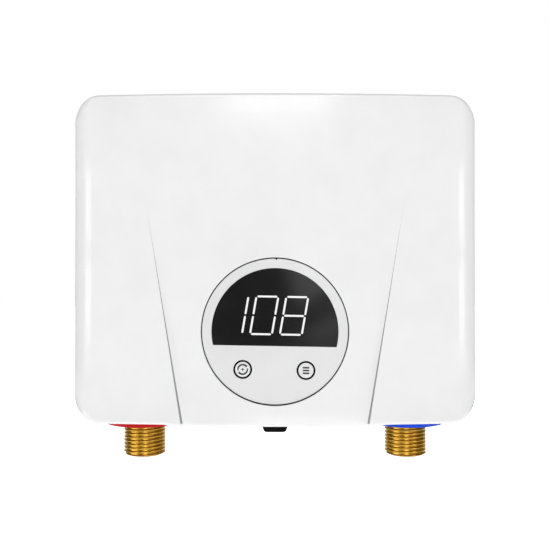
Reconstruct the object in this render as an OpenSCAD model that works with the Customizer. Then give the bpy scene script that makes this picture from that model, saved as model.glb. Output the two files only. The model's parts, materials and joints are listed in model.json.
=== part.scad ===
// Wall-hung tankless electric water heater, in millimetres.
// The origin is the middle of the back face, on the wall. X points right as one faces the heater,
// Z points up and the front faces -Y. A value that ends in _d is a depth: a distance out from the wall.

/* [Case] */
// Width of the case
case_w = 190; // [184:1:210]
// Height of the case
case_h = 154; // [150:1:170]
// Depth of the case, from the wall to the middle of the front
case_d = 70; // [70:1:85]
// Wall thickness of both shells
wall = 2.5; // [2:0.1:3]
// Radius of the corners, seen from the front
corner_r = 13; // [10:0.5:20]
// Radius of the crown of the front, from side to side
crown_r = 800; // [600:10:1500]
// Rounding of the front's left and right edges
edge_r = 7; // [5:0.5:9]
// Depth of the joint between the two shells, which is also the depth of the pipes
split_d = 30; // [28:0.5:32]
// Width of the groove along the joint
seam_w = 1; // [0.5:0.1:2]
// How far the groove is let in
seam_in = 0.8; // [0.4:0.1:1.2]
// Step around the back, which leaves a shadow gap against the wall
foot_step = 1.5; // [0.5:0.1:2]
// Thickness of the seal between the shells
seal_t = 2; // [1.2:0.1:3]
// Thickness of the ledges that squeeze the seal
ledge_t = 2; // [1.5:0.1:3]
// Width of the ledges
ledge_w = 3; // [2:0.1:3.5]

/* [Front wings] */
// How far each wing stands out from the middle of the front at the bottom of the case
wing_rise = 1.5; // [0.5:0.1:2.5]
// Distance of each crease from the middle at the bottom of the case
wing_bottom_x = 43.5; // [41:0.5:50]
// Distance of each crease from the middle where it fades out
wing_top_x = 60; // [56:0.5:70]
// Height at which the creases fade out
wing_top_z = 28; // [10:1:45]

/* [Wall mounting] */
// Distance between the wall screw holes, from side to side
hole_span_x = 80; // [74:1:84]
// Distance between the wall screw holes, from bottom to top
hole_span_z = 116; // [112:1:122]
// Radius of the wall screw holes
hole_r = 2.6; // [2:0.1:3]
// Radius of the pads around the wall screw holes
pad_r = 6; // [5:0.25:7]
// Height of those pads above the wall plane
pad_d = 5; // [4:0.5:8]

/* [Control panel] */
// Radius of the round opening for the panel
panel_r = 34.2; // [33.6:0.2:38]
// Height of the panel's middle above the bottom of the case
panel_rise = 44; // [41:0.5:50]
// Gap around the panel, which shows as a thin dark line
panel_gap = 0.5; // [0.3:0.05:0.8]
// Thickness of the panel disc
panel_t = 3; // [2.5:0.1:4]
// How far the panel's face lies behind the middle of the front
panel_sink = 0.8; // [0.5:0.1:1.5]
// Angle at which the panel is set, clockwise from level
panel_turn = 1; // [0:0.5:5]
// Width of the index notch in the panel's rim
notch_w = 1; // [0.5:0.1:2]
// How far the panel disc reaches past the drum that turns in the cover's collar
drum_step = 2.7; // [2.2:0.1:3.2]
// Length of the drum
drum_len = 13.6; // [12:0.2:16]
// Wall of the drum, and of the collar that it turns in
drum_wall = 1.8; // [1.5:0.1:2]
// Thickness of the ring that keeps the drum in the collar
retainer_t = 1.5; // [1:0.1:2.5]
// How far that ring, the washer and the stop lug reach past the drum
retainer_lap = 3.2; // [2.6:0.1:4]
// Thickness of the friction washer
washer_t = 0.5; // [0.3:0.1:1]
// Room between the panel disc and its circuit board
board_room = 6.2; // [5.8:0.1:7]
// Width of the panel's rim around the display window
window_margin = 4.5; // [3.7:0.1:6.7]
// Drop of the window's flat lower edge below the panel's middle
window_drop = 6.6; // [5:0.1:8]
// Thickness of the window
window_t = 1.2; // [0.8:0.1:1.6]
// Width of the lit digit module
digits_w = 33; // [32:0.5:38]
// Height of the lit digit module
digits_h = 20; // [19:0.5:22]
// Height of the module's middle above the panel's middle
digits_z = 7.4; // [7:0.1:8]

/* [Keys] */
// Radius of the round keys
key_r = 3.7; // [3:0.1:4.2]
// Ring gap around each key
key_gap = 0.6; // [0.3:0.05:0.8]
// Angle of each key below level, seen from the middle of the panel
key_angle = 50.5; // [45:0.5:56]
// Gap between the flange of a key and the drum
key_margin = 1.35; // [0.5:0.05:3]
// Travel of the keys
key_travel = 0.5; // [0.3:0.05:0.8]
// Thickness of the flange that keeps a key in the panel
key_flange_t = 1; // [0.8:0.1:1.5]

/* [Pipes] */
// Distance of each pipe from the side of the case
pipe_inset = 28.5; // [26:0.5:30]
// Radius over the crests of the half-inch pipe thread
thread_r = 10.48; // [9:0.02:12]
// Pitch of the thread
thread_pitch = 1.814; // [1:0.001:2.4]
// Depth of the thread
thread_depth = 1.16; // [0.8:0.02:1.4]
// How far the pipe ends stand below the case
pipe_drop = 21; // [16:0.5:30]
// Radius of the waterway
bore_r = 6.5; // [5:0.1:6.8]
// Radius of the coloured collars
collar_r = 20; // [18:0.5:22]
// How far the collars stand below the case
collar_t = 4.2; // [2:0.1:6]
// Thickness of the lip that keeps each collar in the lower wall
lip_t = 1.5; // [1:0.1:2.5]
// Height of the hexagonal shoulder on each pipe end
shoulder_t = 5; // [4:0.5:7]
// Length of the spigot above the shoulder
spigot_len = 7; // [6:0.5:9]
// Depth of the seal groove in the spigot
groove_depth = 1.3; // [1:0.05:1.4]

/* [Heating barrels] */
// Outer radius of the barrels
barrel_r = 18; // [16:0.25:18.5]
// Wall of the barrels
barrel_wall = 1.5; // [1:0.1:2]
// Distance from the top of the barrels up to the inside of the case
barrel_headroom = 32.1; // [30:0.1:36]
// Length of the neck below each barrel
neck_len = 18; // [17:0.5:20]
// Outer radius of the necks
neck_r = 13; // [12:0.25:14]
// Radius of the pipe that joins the barrels
cross_r = 6; // [5:0.25:7]
// Distance of that pipe below the top of the barrels
cross_drop = 10; // [9.5:0.5:12]
// Wall of that pipe
cross_wall = 1; // [0.8:0.1:1.5]
// How far the stubs for that pipe stand out from the barrels
stub_len = 6.5; // [6:0.5:8]
// Length of the union nuts on that pipe
nut_len = 6; // [5:0.5:8]
// Thickness of the flange of each heating element, and of its hexagonal head
flange_t = 4; // [3:0.5:5]
// Radius of the plug of each heating element
plug_r = 11.5; // [10.5:0.25:12.5]
// Radius of the element's rod
rod_r = 3.2; // [2.5:0.1:3.5]
// Distance of each leg of the element from the barrel's axis
rod_offset = 5.5; // [5:0.1:6.5]
// Thickness of the element gaskets
gasket_t = 1.5; // [1:0.1:2.5]
// Height of the terminal pins
terminal_len = 7; // [5:0.5:9]
// Thickness of the steel straps
strap_t = 1.2; // [0.8:0.1:1.5]
// Width of the straps
strap_w = 10; // [8:0.5:11]
// Height of the lower straps above the bottom of the barrels
strap_rise = 21.6; // [20:0.1:27]
// Gap between the upper straps and the stubs above them
strap_gap = 2.9; // [1:0.1:5]
// Reach of the flats on the barrels, for the cut-out and the heat sink
flat_reach = 2.5; // [2:0.1:4]
// Radius of the thermal cut-out
cutout_r = 8.5; // [7:0.25:9]
// Travel of the cut-out's reset button
reset_travel = 1; // [0.5:0.1:1.5]
// Radius of the temperature probes
probe_r = 3; // [2.5:0.1:3.5]

/* [Flow sensor] */
// Thickness of the strainer disc
strainer_t = 0.5; // [0.4:0.1:0.8]
// Thickness of the two spiders that hold the turbine's pin
spider_t = 1.5; // [1:0.1:1.8]
// Radius of the turbine's pin
pin_r = 0.75; // [0.6:0.05:1]
// Number of turbine blades
blades = 5; // [3:1:7]
// Slant of the turbine blades
blade_slant = 35; // [20:1:45]

/* [Electrics] */
// Gap between the power board and the feet of the straps beside it
board_gap = 3.6; // [2:0.1:5]
// Height of the lower edge of the power board
board_bottom = -13; // [-16:0.5:-10]
// Thickness of both circuit boards
board_t = 1.6; // [1:0.1:2]
// Depth of the back of the power board
board_d = 12; // [10:0.5:14]
// Width of the relays
relay_w = 16; // [12:0.5:18]
// Gap between the two relays
relay_gap = 4; // [2:0.5:8]
// Depth of the relays, out from the board
relay_depth = 10; // [8:0.5:10]
// Height of the relays
relay_h = 13; // [10:0.5:13]
// Width of the transformer
transformer_w = 18; // [14:0.5:20]
// Depth of the transformer, out from the board
transformer_depth = 14; // [12:0.5:18]
// Height of the transformer
transformer_h = 20; // [16:0.5:22]
// Radius of the capacitors
capacitor_r = 4; // [3:0.25:4.5]
// Length of the capacitors
capacitor_len = 16; // [12:0.5:20]
// Width of the terminal block
block_w = 36; // [33:0.5:40]
// Depth of the terminal block, out from its pad
block_depth = 16; // [14:0.5:18]
// Height of the terminal block
block_h = 16; // [14:0.5:17]
// Gap between the terminal block and the cable clamp below it
block_rise = 7.4; // [5:0.1:9]
// Depth of the pad under the terminal block
block_d = 8; // [6:0.5:10]
// Thickness of the heat sink
sink_t = 4; // [3:0.25:5]
// Depth of the heat sink, from back to front
sink_depth = 28; // [24:1:32]
// Height of the heat sink
sink_h = 18; // [16:0.5:20]
// Thickness of the triacs
triac_t = 4.5; // [4:0.25:5]
// Depth of the triacs, from back to front
triac_depth = 16; // [14:0.5:18]
// Height of the triacs
triac_h = 8.5; // [7:0.25:9]
// Radius of the mains leads
lead_r = 1.5; // [1:0.1:1.8]

/* [Cable entry] */
// Radius of the cable's way through the gland
cable_r = 4.5; // [3:0.1:4.8]
// Width of the gland where it meets the case
gland_w = 17.5; // [16:0.5:20]
// Depth of the gland where it meets the case, from back to front
gland_depth = 20; // [18:0.5:24]
// How far the gland stands below the case
gland_drop = 9; // [6:0.5:14]
// How much narrower each side of the gland is at its lower end
gland_taper = 3.2; // [1:0.1:3.4]
// Gap between the clamp that grips the cable and the posts beside it
clamp_gap = 1.5; // [1:0.1:4]
// Height of the clamp
clamp_h = 7; // [6:0.5:8]

/* [Fastening] */
// Distance of the cover screws from the middle
post_x = 22; // [21.5:0.5:26]
// Width of the posts for the cover screws
post_w = 9; // [8:0.5:9]
// Radius of the shank of the self-tapping screws
screw_r = 1.4; // [1:0.05:1.6]
// Radius of their heads
head_r = 2.8; // [2.2:0.1:3]
// Height of their heads
head_t = 1.5; // [1:0.1:1.6]
// Length of their shanks
screw_len = 11; // [10:0.5:12]
// Clearance between pieces that fit together
fit = 0.1; // [0.05:0.01:0.15]
// Clearance between pieces that must stay apart
slack = 0.3; // [0.2:0.05:0.4]

/* [Hidden] */
$fn = 64;

// Case
half_w = case_w / 2;
half_h = case_h / 2;
case_bottom = -half_h;
inner_bottom = case_bottom + wall;
inner_top = half_h - wall;
crown_d = case_d - crown_r;
wing_lean = atan(wing_rise / (wing_top_z - case_bottom));
// How far a cut runs past the face that it opens, and how far a form runs on to be cut
over = 1;
beyond = 10;
seal_bottom = case_bottom + corner_r + beyond;
seal_back_d = split_d - seal_t / 2;
seal_front_d = split_d + seal_t / 2;
screw_bore_r = screw_r + fit / 2;

// Posts for the cover screws
post_top = inner_top - ledge_w - slack;
post_bottom = post_top - post_w;
screw_d = split_d + seal_t / 2 + ledge_t + head_r + slack;
post_d = screw_d + post_w / 2;
cover_boss_r = head_r + drum_wall;

// Control panel
panel_z = case_bottom + panel_rise;
disc_r = panel_r - panel_gap;
drum_r = disc_r - drum_step;
window_r = disc_r - window_margin;
face_d = case_d - panel_sink;
panel_back_d = face_d - panel_t;
seat_d = panel_back_d - fit;
drum_back_d = panel_back_d - drum_len;
collar_back_d = drum_back_d + washer_t + 2 * fit;
drum_bore_r = drum_r + fit;
drum_inner_r = drum_r - drum_wall;
seat_r = panel_r + wall;
retainer_r = drum_r + retainer_lap;
lug_r = retainer_r + retainer_lap;
lug_w = 4;
stop_r = 1.5;
stop_axis_r = retainer_r + slack + stop_r;
stop_angle = asin((lug_w / 2 + stop_r + slack) / stop_axis_r);
boss_angles = [90, 210, 330];
small_boss_r = 2.2;
small_screw_r = 0.9;
small_head_r = 1.8;
boss_axis_r = drum_inner_r - small_boss_r + fit;
ledge_r = boss_axis_r - small_boss_r;
panel_board_front_d = panel_back_d - board_room;
panel_board_d = panel_board_front_d - board_t;
panel_board_r = drum_inner_r - slack;
lens_margin = 1;
lens_w = digits_w + 2 * lens_margin;
lens_h = digits_h + 2 * lens_margin;

// Keys
key_hole_r = key_r + key_gap;
key_flange_r = key_hole_r + key_gap;
key_axis_r = drum_inner_r - key_flange_r - key_margin;
key_x = key_axis_r * cos(key_angle);
key_drop = key_axis_r * sin(key_angle);
key_flange_d = panel_back_d - fit - key_flange_t;
switch_w = 6;
switch_h = 2.6;
plunger_r = 1.7;
plunger_d = key_flange_d - key_travel - fit;
header_r = 3.5;
header_inset = 1;
header_d = drum_back_d + header_inset;

// Pipe ends, from the bottom up
pipe_x = half_w - pipe_inset;
pipe_end = case_bottom - pipe_drop;
root_r = thread_r - thread_depth;
end_bevel = 0.8;
end_lead = 1.2;
crest_share = 0.3;
crest_from = thread_pitch * (1 - crest_share) / 2;
crest_to = thread_pitch * (1 + crest_share) / 2;
thread_start = pipe_end + end_lead;
thread_turns = floor((pipe_drop - collar_t - end_lead) / thread_pitch);
thread_end = thread_start + thread_turns * thread_pitch;
shank_r = (thread_r + root_r) / 2;
collar_bore_r = thread_r + slack;
collar_wall = 2.2;
collar_neck_r = collar_bore_r + collar_wall;
collar_hole_r = collar_neck_r + fit;
collar_lap = 2.4;
collar_lip_r = collar_hole_r + collar_lap;
lip_bottom = inner_bottom + fit;
shoulder_bottom = lip_bottom + lip_t;
shoulder_top = shoulder_bottom + shoulder_t;
shoulder_r = collar_lip_r;
spigot_wall = 1.9;
spigot_r = bore_r + spigot_wall;
spigot_top = shoulder_top + spigot_len;
socket_r = spigot_r + fit;
groove_w = 2;
groove_z = shoulder_top + spigot_len / 2;
seal_section_r = (groove_depth + fit) / 2 - fit / 5;
seal_axis_r = spigot_r - groove_depth / 2 + fit / 2;

// Heating barrels
neck_bottom = shoulder_top + slack;
barrel_bottom = neck_bottom + neck_len;
barrel_top = inner_top - barrel_headroom;
barrel_end_t = 3;
port_step = 1;
port_r = bore_r + port_step;
inboard_x = pipe_x - barrel_r;
cross_z = barrel_top - cross_drop;
stub_wall = 3;
stub_r = cross_r + stub_wall;
stub_x = inboard_x - stub_len;
stub_floor = 1;
socket_len = stub_len - stub_floor;
flange_z = barrel_top + gasket_t;
head_z = flange_z + flange_t;
pin_z = head_z + flange_t;
terminal_top = pin_z + terminal_len;
terminal_r = 1.6;
plug_len = 8;
element_head_margin = 2;
loop_rise = 20;
loop_z = barrel_bottom + loop_rise;
flat_x = inboard_x - flat_reach;
flat_margin = 0.5;
flat_r = cutout_r + flat_margin;
flat_root = 3;
probe_rise = 8;
probe_z = barrel_bottom + probe_rise;
probe_boss_len = 4;
probe_boss_d = split_d + barrel_r + probe_boss_len;
probe_boss_wall = 2;
probe_boss_r = probe_r + probe_boss_wall;
probe_head_t = 3;
strap_z = [barrel_bottom + strap_rise, cross_z - stub_r - strap_gap - strap_w / 2];
flat_z = (strap_z[0] + strap_z[1]) / 2;
strap_r = barrel_r + fit;
strap_outer_r = strap_r + strap_t;
foot_d = split_d - barrel_r / 2;
foot_margin = 1.5;
foot_w = 2 * (head_r + foot_margin);
foot_x = pipe_x - strap_outer_r - foot_w / 2;
hook_drop = 6;
hook_d = foot_d - hook_drop;
hook_len = 3;
saddle_half = barrel_r - slack;

// Thermal cut-out, to the left of the flat on the outlet barrel
cutout_len = 7;
cap_r = 6;
cap_len = 3;
reset_r = 2;
reset_len = 3.5;
reset_proud = reset_travel + slack;

// Flow sensor
strainer_z = spigot_top + fit;
spider_z = strainer_z + strainer_t + fit;
chamber_z = spider_z + spider_t + slack;
top_spider_z = barrel_bottom - spider_t - fit;
turbine_h = top_spider_z - slack - chamber_z;
turbine_gap = 0.5;
turbine_r = socket_r - turbine_gap;
hub_r = 2.2;
spoke_w = 1.2;
spokes = 3;
hall_z = chamber_z + turbine_h / 2;
hall_half = 4;
hall_t = 3;
hall_pad_t = 1;
hall_d = split_d + neck_r + hall_pad_t;

// Cable entry
gland_groove = 2;
gland_neck_w = gland_w - 2 * gland_groove;
gland_neck_depth = gland_depth - 2 * gland_groove;
gland_lip_t = 2;
gland_top = inner_bottom + fit + gland_lip_t;
clamp_rise = 4;
clamp_z = gland_top + clamp_rise;
clamp_t = 3;
clamp_w = 2 * (post_x - post_w / 2 - clamp_gap);
clamp_face_d = split_d + cable_r + clamp_t;
clamp_screw_x = clamp_w / 2 - head_r - fit;

// Electrics
board_w = 2 * (foot_x - foot_w / 2 - board_gap);
board_front_d = board_d + board_t;
board_top = post_bottom - slack;
board_screw_inset = 5;
board_screw_x = board_w / 2 - board_screw_inset;
board_screw_z = [board_bottom + board_screw_inset, board_top - board_screw_inset];
boss_wall = 2.2;
boss_r = screw_r + boss_wall;
part_gap = 2;
part_edge = 3;
relay_top = board_screw_z[1] - head_r - part_gap;
relay_axis_x = (relay_w + relay_gap) / 2;
transformer_top = cross_z - cross_r - slack;
transformer_x = -board_w / 2 + part_edge + transformer_w / 2;
capacitor_count = 3;
capacitor_gap = 1;
capacitor_pitch = 2 * capacitor_r + capacitor_gap;
first_capacitor_x = board_w / 2 - part_edge - capacitor_r;
capacitor_z = transformer_top - capacitor_r - part_gap;
display_header_rise = 8;
display_header_z = board_bottom + display_header_rise;
display_header_w = 9;
display_header_depth = 6;
display_header_h = 7;
block_z = clamp_z + clamp_h + block_rise;
block_middle_z = block_z + block_h / 2;
terminals = 3;
terminal_pitch = block_w / terminals;
clamp_recess_r = 3.2;
clamp_recess_len = 6;
block_screw_r = 2.6;
block_screw_t = 3;
block_pad_inset = 2;
wire_hole_len = 5;
earth_gap = 12;
earth_x = -block_w / 2 - earth_gap;
earth_d = 10;
earth_r = 3.5;
earth_margin = 1;
triac_gap = 1;

// Leads: the ends follow the terminals, and the reach shapes the bend
lead_reach = 13;
element_lead_start_x = board_screw_x;
element_lead_drops = [7, 13];
element_lead_z = [for (drop = element_lead_drops) board_screw_z[1] - drop];
supply_lead_x = [-terminal_pitch, terminal_pitch];
supply_lead_rise = 7;
supply_lead_top = board_bottom + supply_lead_rise;
display_lead_r = 2;

// Points on an arc, and on an arc without its two ends
function arc(cx, cy, r, from, to, steps = 8) =
    [for (i = [0:steps]) let (a = from + (to - from) * i / steps) [cx + r * cos(a), cy + r * sin(a)]];
function open_arc(cx, cy, r, from, to, steps = 16) =
    [for (i = [1:steps - 1]) let (a = from + (to - from) * i / steps) [cx + r * cos(a), cy + r * sin(a)]];

// Outline of the case from the front, as points of X and Z
function case_outline(inset = 0) =
    let (x = half_w - corner_r, z = half_h - corner_r, r = corner_r - inset)
    concat(arc(x, z, r, 0, 90), arc(-x, z, r, 90, 180), arc(-x, -z, r, 180, 270), arc(x, -z, r, 270, 360));

// Outline of the front from above, as points of X and depth: straight sides, rounded edges and a crown
function front_plan(inset, back_d) =
    let (
        side = half_w - inset,
        r = edge_r - inset,
        big = crown_r - inset,
        cx = side - r,
        cd = crown_d + sqrt(pow(big - r, 2) - pow(cx, 2)),
        turn = atan2(cd - crown_d, cx)
    )
    concat(
        [[side, back_d]],
        arc(cx, cd, r, 0, turn),
        open_arc(0, crown_d, big, turn, 180 - turn),
        arc(-cx, cd, r, 180 - turn, 180),
        [[-side, back_d]]
    );

// Solids placed by ranges: an outline of X and Z between two depths, a box, and rods along each axis
module slab(points, d) {
    translate([0, -d[0], 0]) rotate([90, 0, 0]) linear_extrude(d[1] - d[0]) polygon(points);
}
module box(x, d, z) {
    translate([x[0], -d[1], z[0]]) cube([x[1] - x[0], d[1] - d[0], z[1] - z[0]]);
}
module rod_x(r, x, d, z) {
    translate([x[0], -d, z]) rotate([0, 90, 0]) cylinder(r = r, h = x[1] - x[0]);
}
module rod_y(r, d, x, z) {
    translate([x, -d[0], z]) rotate([90, 0, 0]) cylinder(r = r, h = d[1] - d[0]);
}
module rod_z(r, z, x, d) {
    translate([x, -d, z[0]]) cylinder(r = r, h = z[1] - z[0]);
}

// A value spread to both sides
function about(middle, half) = [middle - half, middle + half];

// Mirrors what is modelled for the right side onto the left
module on_side(side) {
    if (side > 0) children();
    else mirror([1, 0, 0]) children();
}
module on_both_sides() {
    for (side = [-1, 1]) on_side(side) children();
}
module at_pipe() {
    translate([pipe_x, -split_d, 0]) children();
}
module as_panel_is_turned() {
    translate([0, 0, panel_z]) rotate([0, panel_turn, 0]) children();
}

// Self-tapping screw along a depth, with its head's underside at d
module screw_y(d, x, z, r = screw_r, head = head_r, length = screw_len) {
    rod_y(head, [d, d + head_t], x, z);
    rod_y(r, [d - length, d + head_t / 2], x, z);
}

// A bent lead: a tube along one cubic curve, given by its two ends and the handles of its bend
function along(p, t) =
    pow(1 - t, 3) * p[0] + 3 * pow(1 - t, 2) * t * p[1] + 3 * (1 - t) * t * t * p[2] + pow(t, 3) * p[3];
function heading(p, t) =
    pow(1 - t, 2) * (p[1] - p[0]) + 2 * (1 - t) * t * (p[2] - p[1]) + t * t * (p[3] - p[2]);
function unit(v) = v / norm(v);
module lead(route, r, side_of) {
    rings = 12;
    sides = 8;
    points = [
        for (i = [0:rings])
            let (
                c = along(route, i / rings),
                f = unit(heading(route, i / rings)),
                s = unit(cross(f, side_of)),
                u = cross(s, f)
            )
            for (j = [0:sides - 1]) c + r * (cos(360 * j / sides) * s + sin(360 * j / sides) * u)
    ];
    last = rings * sides;
    skin = [
        for (i = [0:rings - 1], j = [0:sides - 1])
            let (k = (j + 1) % sides, a = i * sides, b = a + sides)
            each [[a + j, a + k, b + k], [a + j, b + k, b + j]]
    ];
    ends = [for (j = [1:sides - 2]) each [[0, j + 1, j], [last, last + j, last + j + 1]]];
    polyhedron(points, concat(skin, ends));
}

// The front's outer form, or its hollow when it is inset by the wall
module front_form(inset = 0, back_d = split_d) {
    intersection() {
        slab(case_outline(inset), [back_d, case_d + beyond]);
        upright(front_plan(inset, back_d));
    }
}
module upright(plan) {
    translate([0, 0, case_bottom - beyond])
        linear_extrude(case_h + 2 * beyond) polygon([for (p = plan) [p[0], -p[1]]]);
}

// A wing is the same front, leaned forward about the height where its crease fades out
module wing(side) {
    outline = [
        [side * wing_bottom_x, case_bottom],
        [side * wing_top_x, wing_top_z],
        [side * wing_top_x, wing_top_z + beyond],
        [side * case_w, wing_top_z + beyond],
        [side * case_w, case_bottom]
    ];
    intersection() {
        slab(case_outline(), [split_d, case_d + beyond]);
        slab(outline, [split_d, case_d + beyond]);
        translate([0, -case_d, wing_top_z]) rotate([-wing_lean, 0, 0]) translate([0, case_d, -wing_top_z])
            upright(front_plan(0, split_d - beyond));
    }
}

// Ledge inside a shell that the seal lies against, over the top and down both sides
module seal_ring(outer_inset, inner_inset, d) {
    intersection() {
        difference() {
            slab(case_outline(outer_inset), d);
            slab(case_outline(inner_inset), [d[0] - over, d[1] + over]);
        }
        box([-case_w, case_w], [0, case_d], [seal_bottom, case_h]);
    }
}

// What is cut from both shells at the joint: the collars' holes and the gland's notch
module lower_wall_openings() {
    on_both_sides() rod_z(collar_hole_r, about(inner_bottom, 2 * wall), pipe_x, split_d);
    box(
        about(0, gland_neck_w / 2 + fit),
        about(split_d, gland_neck_depth / 2 + fit),
        about(inner_bottom, 2 * wall)
    );
}

// The four cover screws, as a place for each: mirrored to the left and to the bottom
module at_cover_screws() {
    for (flip = [0, 1]) mirror([0, 0, flip]) on_both_sides() children();
}

module back_shell() {
    color("white") difference() {
        union() {
            difference() {
                union() {
                    slab(case_outline(foot_step), [0, foot_step]);
                    slab(case_outline(), [foot_step, split_d - seam_w]);
                    slab(case_outline(seam_in), [split_d - seam_w, split_d]);
                }
                slab(case_outline(wall), [wall, split_d + beyond]);
            }
            seal_ring(wall / 2, wall + ledge_w, [seal_back_d - ledge_t, seal_back_d]);
            at_wall_holes() rod_y(pad_r, [wall / 2, pad_d], 0, 0);
            at_cover_screws()
                box(about(post_x, post_w / 2), [wall / 2, post_d], [post_bottom, post_top]);
            for (x = [-board_screw_x, board_screw_x], z = board_screw_z)
                rod_y(boss_r, [wall / 2, board_d], x, z);
            on_both_sides() for (z = strap_z) saddle(z);
            box(
                about(0, block_w / 2 - block_pad_inset),
                [wall / 2, block_d],
                about(block_middle_z, block_h / 2 - block_pad_inset)
            );
            box(about(0, clamp_w / 2), [wall / 2, split_d - slack / 2], [clamp_z, clamp_z + clamp_h]);
            rod_y(earth_r + earth_margin, [wall / 2, earth_d], earth_x, block_middle_z);
        }
        at_wall_holes() rod_y(hole_r, [-over, pad_d + over], 0, 0);
        lower_wall_openings();
        on_both_sides() rod_z(strap_r, [barrel_bottom, barrel_top], pipe_x, split_d);
        rod_z(cable_r, about(clamp_z + clamp_h / 2, clamp_h), 0, split_d);
        at_cover_screws() rod_z(screw_bore_r, [post_bottom - over, post_top + over], post_x, screw_d);
        for (x = [-board_screw_x, board_screw_x], z = board_screw_z)
            rod_y(screw_bore_r, [wall, board_d + over], x, z);
        on_both_sides() for (z = strap_z) rod_y(screw_bore_r, [wall, foot_d + over], foot_x, z);
        for (x = [-clamp_screw_x, clamp_screw_x])
            rod_y(screw_bore_r, [wall, split_d], x, clamp_z + clamp_h / 2);
        rod_y(screw_bore_r, [wall, earth_d + over], earth_x, block_middle_z);
    }
}
module at_wall_holes() {
    for (x = about(0, hole_span_x / 2), z = about(0, hole_span_z / 2)) translate([x, 0, z]) children();
}
// Cradle for a barrel, with a slot for the strap's hook and a boss for its screw
module saddle(z) {
    difference() {
        box(about(pipe_x, saddle_half), [wall / 2, foot_d], about(z, strap_w / 2));
        box(
            [pipe_x + strap_r - hook_len - slack, pipe_x + barrel_r],
            [hook_d - slack, hook_d + strap_t + slack],
            about(z, strap_w)
        );
    }
    rod_y(boss_r, [wall / 2, foot_d], foot_x, z);
}

module front_cover() {
    color("white") difference() {
        union() {
            front_form();
            wing(-1);
            wing(1);
        }
        difference() {
            front_form(wall, split_d - beyond);
            seal_ring(wall / 2, wall + ledge_w, [seal_front_d, seal_front_d + ledge_t]);
            rod_y(seat_r, [seat_d - wall, case_d], 0, panel_z);
            rod_y(drum_bore_r + drum_wall, [collar_back_d, seat_d], 0, panel_z);
            for (a = [-stop_angle, 180 + stop_angle])
                rod_y(
                    stop_r,
                    [drum_back_d - retainer_t, seat_d],
                    stop_axis_r * cos(a),
                    panel_z + stop_axis_r * sin(a)
                );
            at_cover_screws() rod_z(cover_boss_r, [post_top + fit, half_h], post_x, screw_d);
        }
        rod_y(panel_r, [seat_d, case_d + beyond], 0, panel_z);
        rod_y(drum_bore_r, [split_d, case_d], 0, panel_z);
        lower_wall_openings();
        at_cover_screws() {
            rod_z(screw_r + fit, [post_top - over, half_h + over], post_x, screw_d);
            rod_z(head_r + slack, [half_h - head_t, half_h + over], post_x, screw_d);
        }
    }
}

module case_seal() {
    color("dimgray") seal_ring(wall + fit, wall + ledge_w, [seal_back_d, seal_front_d]);
}

module cover_screws() {
    color("silver") at_cover_screws() {
        rod_z(head_r, [half_h - head_t, half_h], post_x, screw_d);
        rod_z(screw_r, [half_h - head_t - screw_len, half_h - head_t / 2], post_x, screw_d);
    }
}

// The panel disc is flush in the front. The window lies in a D-shaped pocket, over an opening for the digits.
module panel_disc() {
    color("whitesmoke") as_panel_is_turned() difference() {
        rod_y(disc_r, [panel_back_d, face_d], 0, 0);
        window_form(window_r + fit, window_drop + fit, [face_d - window_t, face_d + over]);
        box(about(0, lens_w / 2), [panel_back_d - over, face_d], about(digits_z, lens_h / 2));
        for (x = [-key_x, key_x]) rod_y(key_hole_r, [panel_back_d - over, face_d + over], x, -key_drop);
        translate([0, 0, disc_r]) rod_y(notch_w, [panel_back_d - over, face_d + over], 0, 0, $fn = 4);
    }
}
module window_form(r, drop, d) {
    intersection() {
        rod_y(r, d, 0, 0);
        box(about(0, r), d, [-drop, r]);
    }
}
module display_window() {
    color([0.1, 0.1, 0.11]) as_panel_is_turned()
        window_form(window_r, window_drop, [face_d - window_t, face_d]);
}

// Drum that carries the panel disc: a tube with a ledge for the board and bosses for the retainer's screws
module panel_drum() {
    color("gray") translate([0, 0, panel_z]) difference() {
        union() {
            difference() {
                rod_y(drum_r, [drum_back_d, panel_back_d], 0, 0);
                rod_y(drum_inner_r, [drum_back_d - over, panel_back_d + over], 0, 0);
            }
            difference() {
                rod_y(drum_inner_r + drum_wall / 2, [panel_board_d - retainer_t, panel_board_d], 0, 0);
                rod_y(ledge_r, [drum_back_d, panel_back_d], 0, 0);
            }
            at_bosses() rod_y(small_boss_r, [drum_back_d, panel_board_d - fit], 0, 0);
        }
        at_bosses() rod_y(small_screw_r + fit / 2, [drum_back_d - over, panel_board_d - retainer_t], 0, 0);
    }
}
module at_bosses() {
    for (a = boss_angles) translate([boss_axis_r * cos(a), 0, boss_axis_r * sin(a)]) children();
}

module display_board() {
    color("darkgreen") translate([0, 0, panel_z]) {
        rod_y(panel_board_r, [panel_board_d, panel_board_front_d], 0, 0);
        rod_y(header_r, [header_d, panel_board_d + board_t / 2], 0, 0);
    }
}

module digit_module() {
    color("black") as_panel_is_turned()
        box(about(0, digits_w / 2), [panel_board_front_d, panel_back_d], about(digits_z, digits_h / 2));
}

module key_switches() {
    color("dimgray") as_panel_is_turned() for (x = [-key_x, key_x]) {
        box(
            about(x, switch_w / 2),
            [panel_board_front_d, panel_board_front_d + switch_h],
            about(-key_drop, switch_w / 2)
        );
        rod_y(plunger_r, [panel_board_front_d + switch_h / 2, plunger_d], x, -key_drop);
    }
}

// Ring behind the collar that keeps the drum in, with the lug that stops it after half a turn
module panel_retainer() {
    color("gray") translate([0, 0, panel_z]) difference() {
        union() {
            rod_y(retainer_r, [drum_back_d - retainer_t, drum_back_d], 0, 0);
            box([drum_r, lug_r], [drum_back_d - retainer_t, drum_back_d], about(0, lug_w / 2));
        }
        rod_y(ledge_r, [drum_back_d - retainer_t - over, drum_back_d + over], 0, 0);
        at_bosses() rod_y(small_screw_r + fit, [drum_back_d - retainer_t - over, drum_back_d + over], 0, 0);
    }
}

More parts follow.
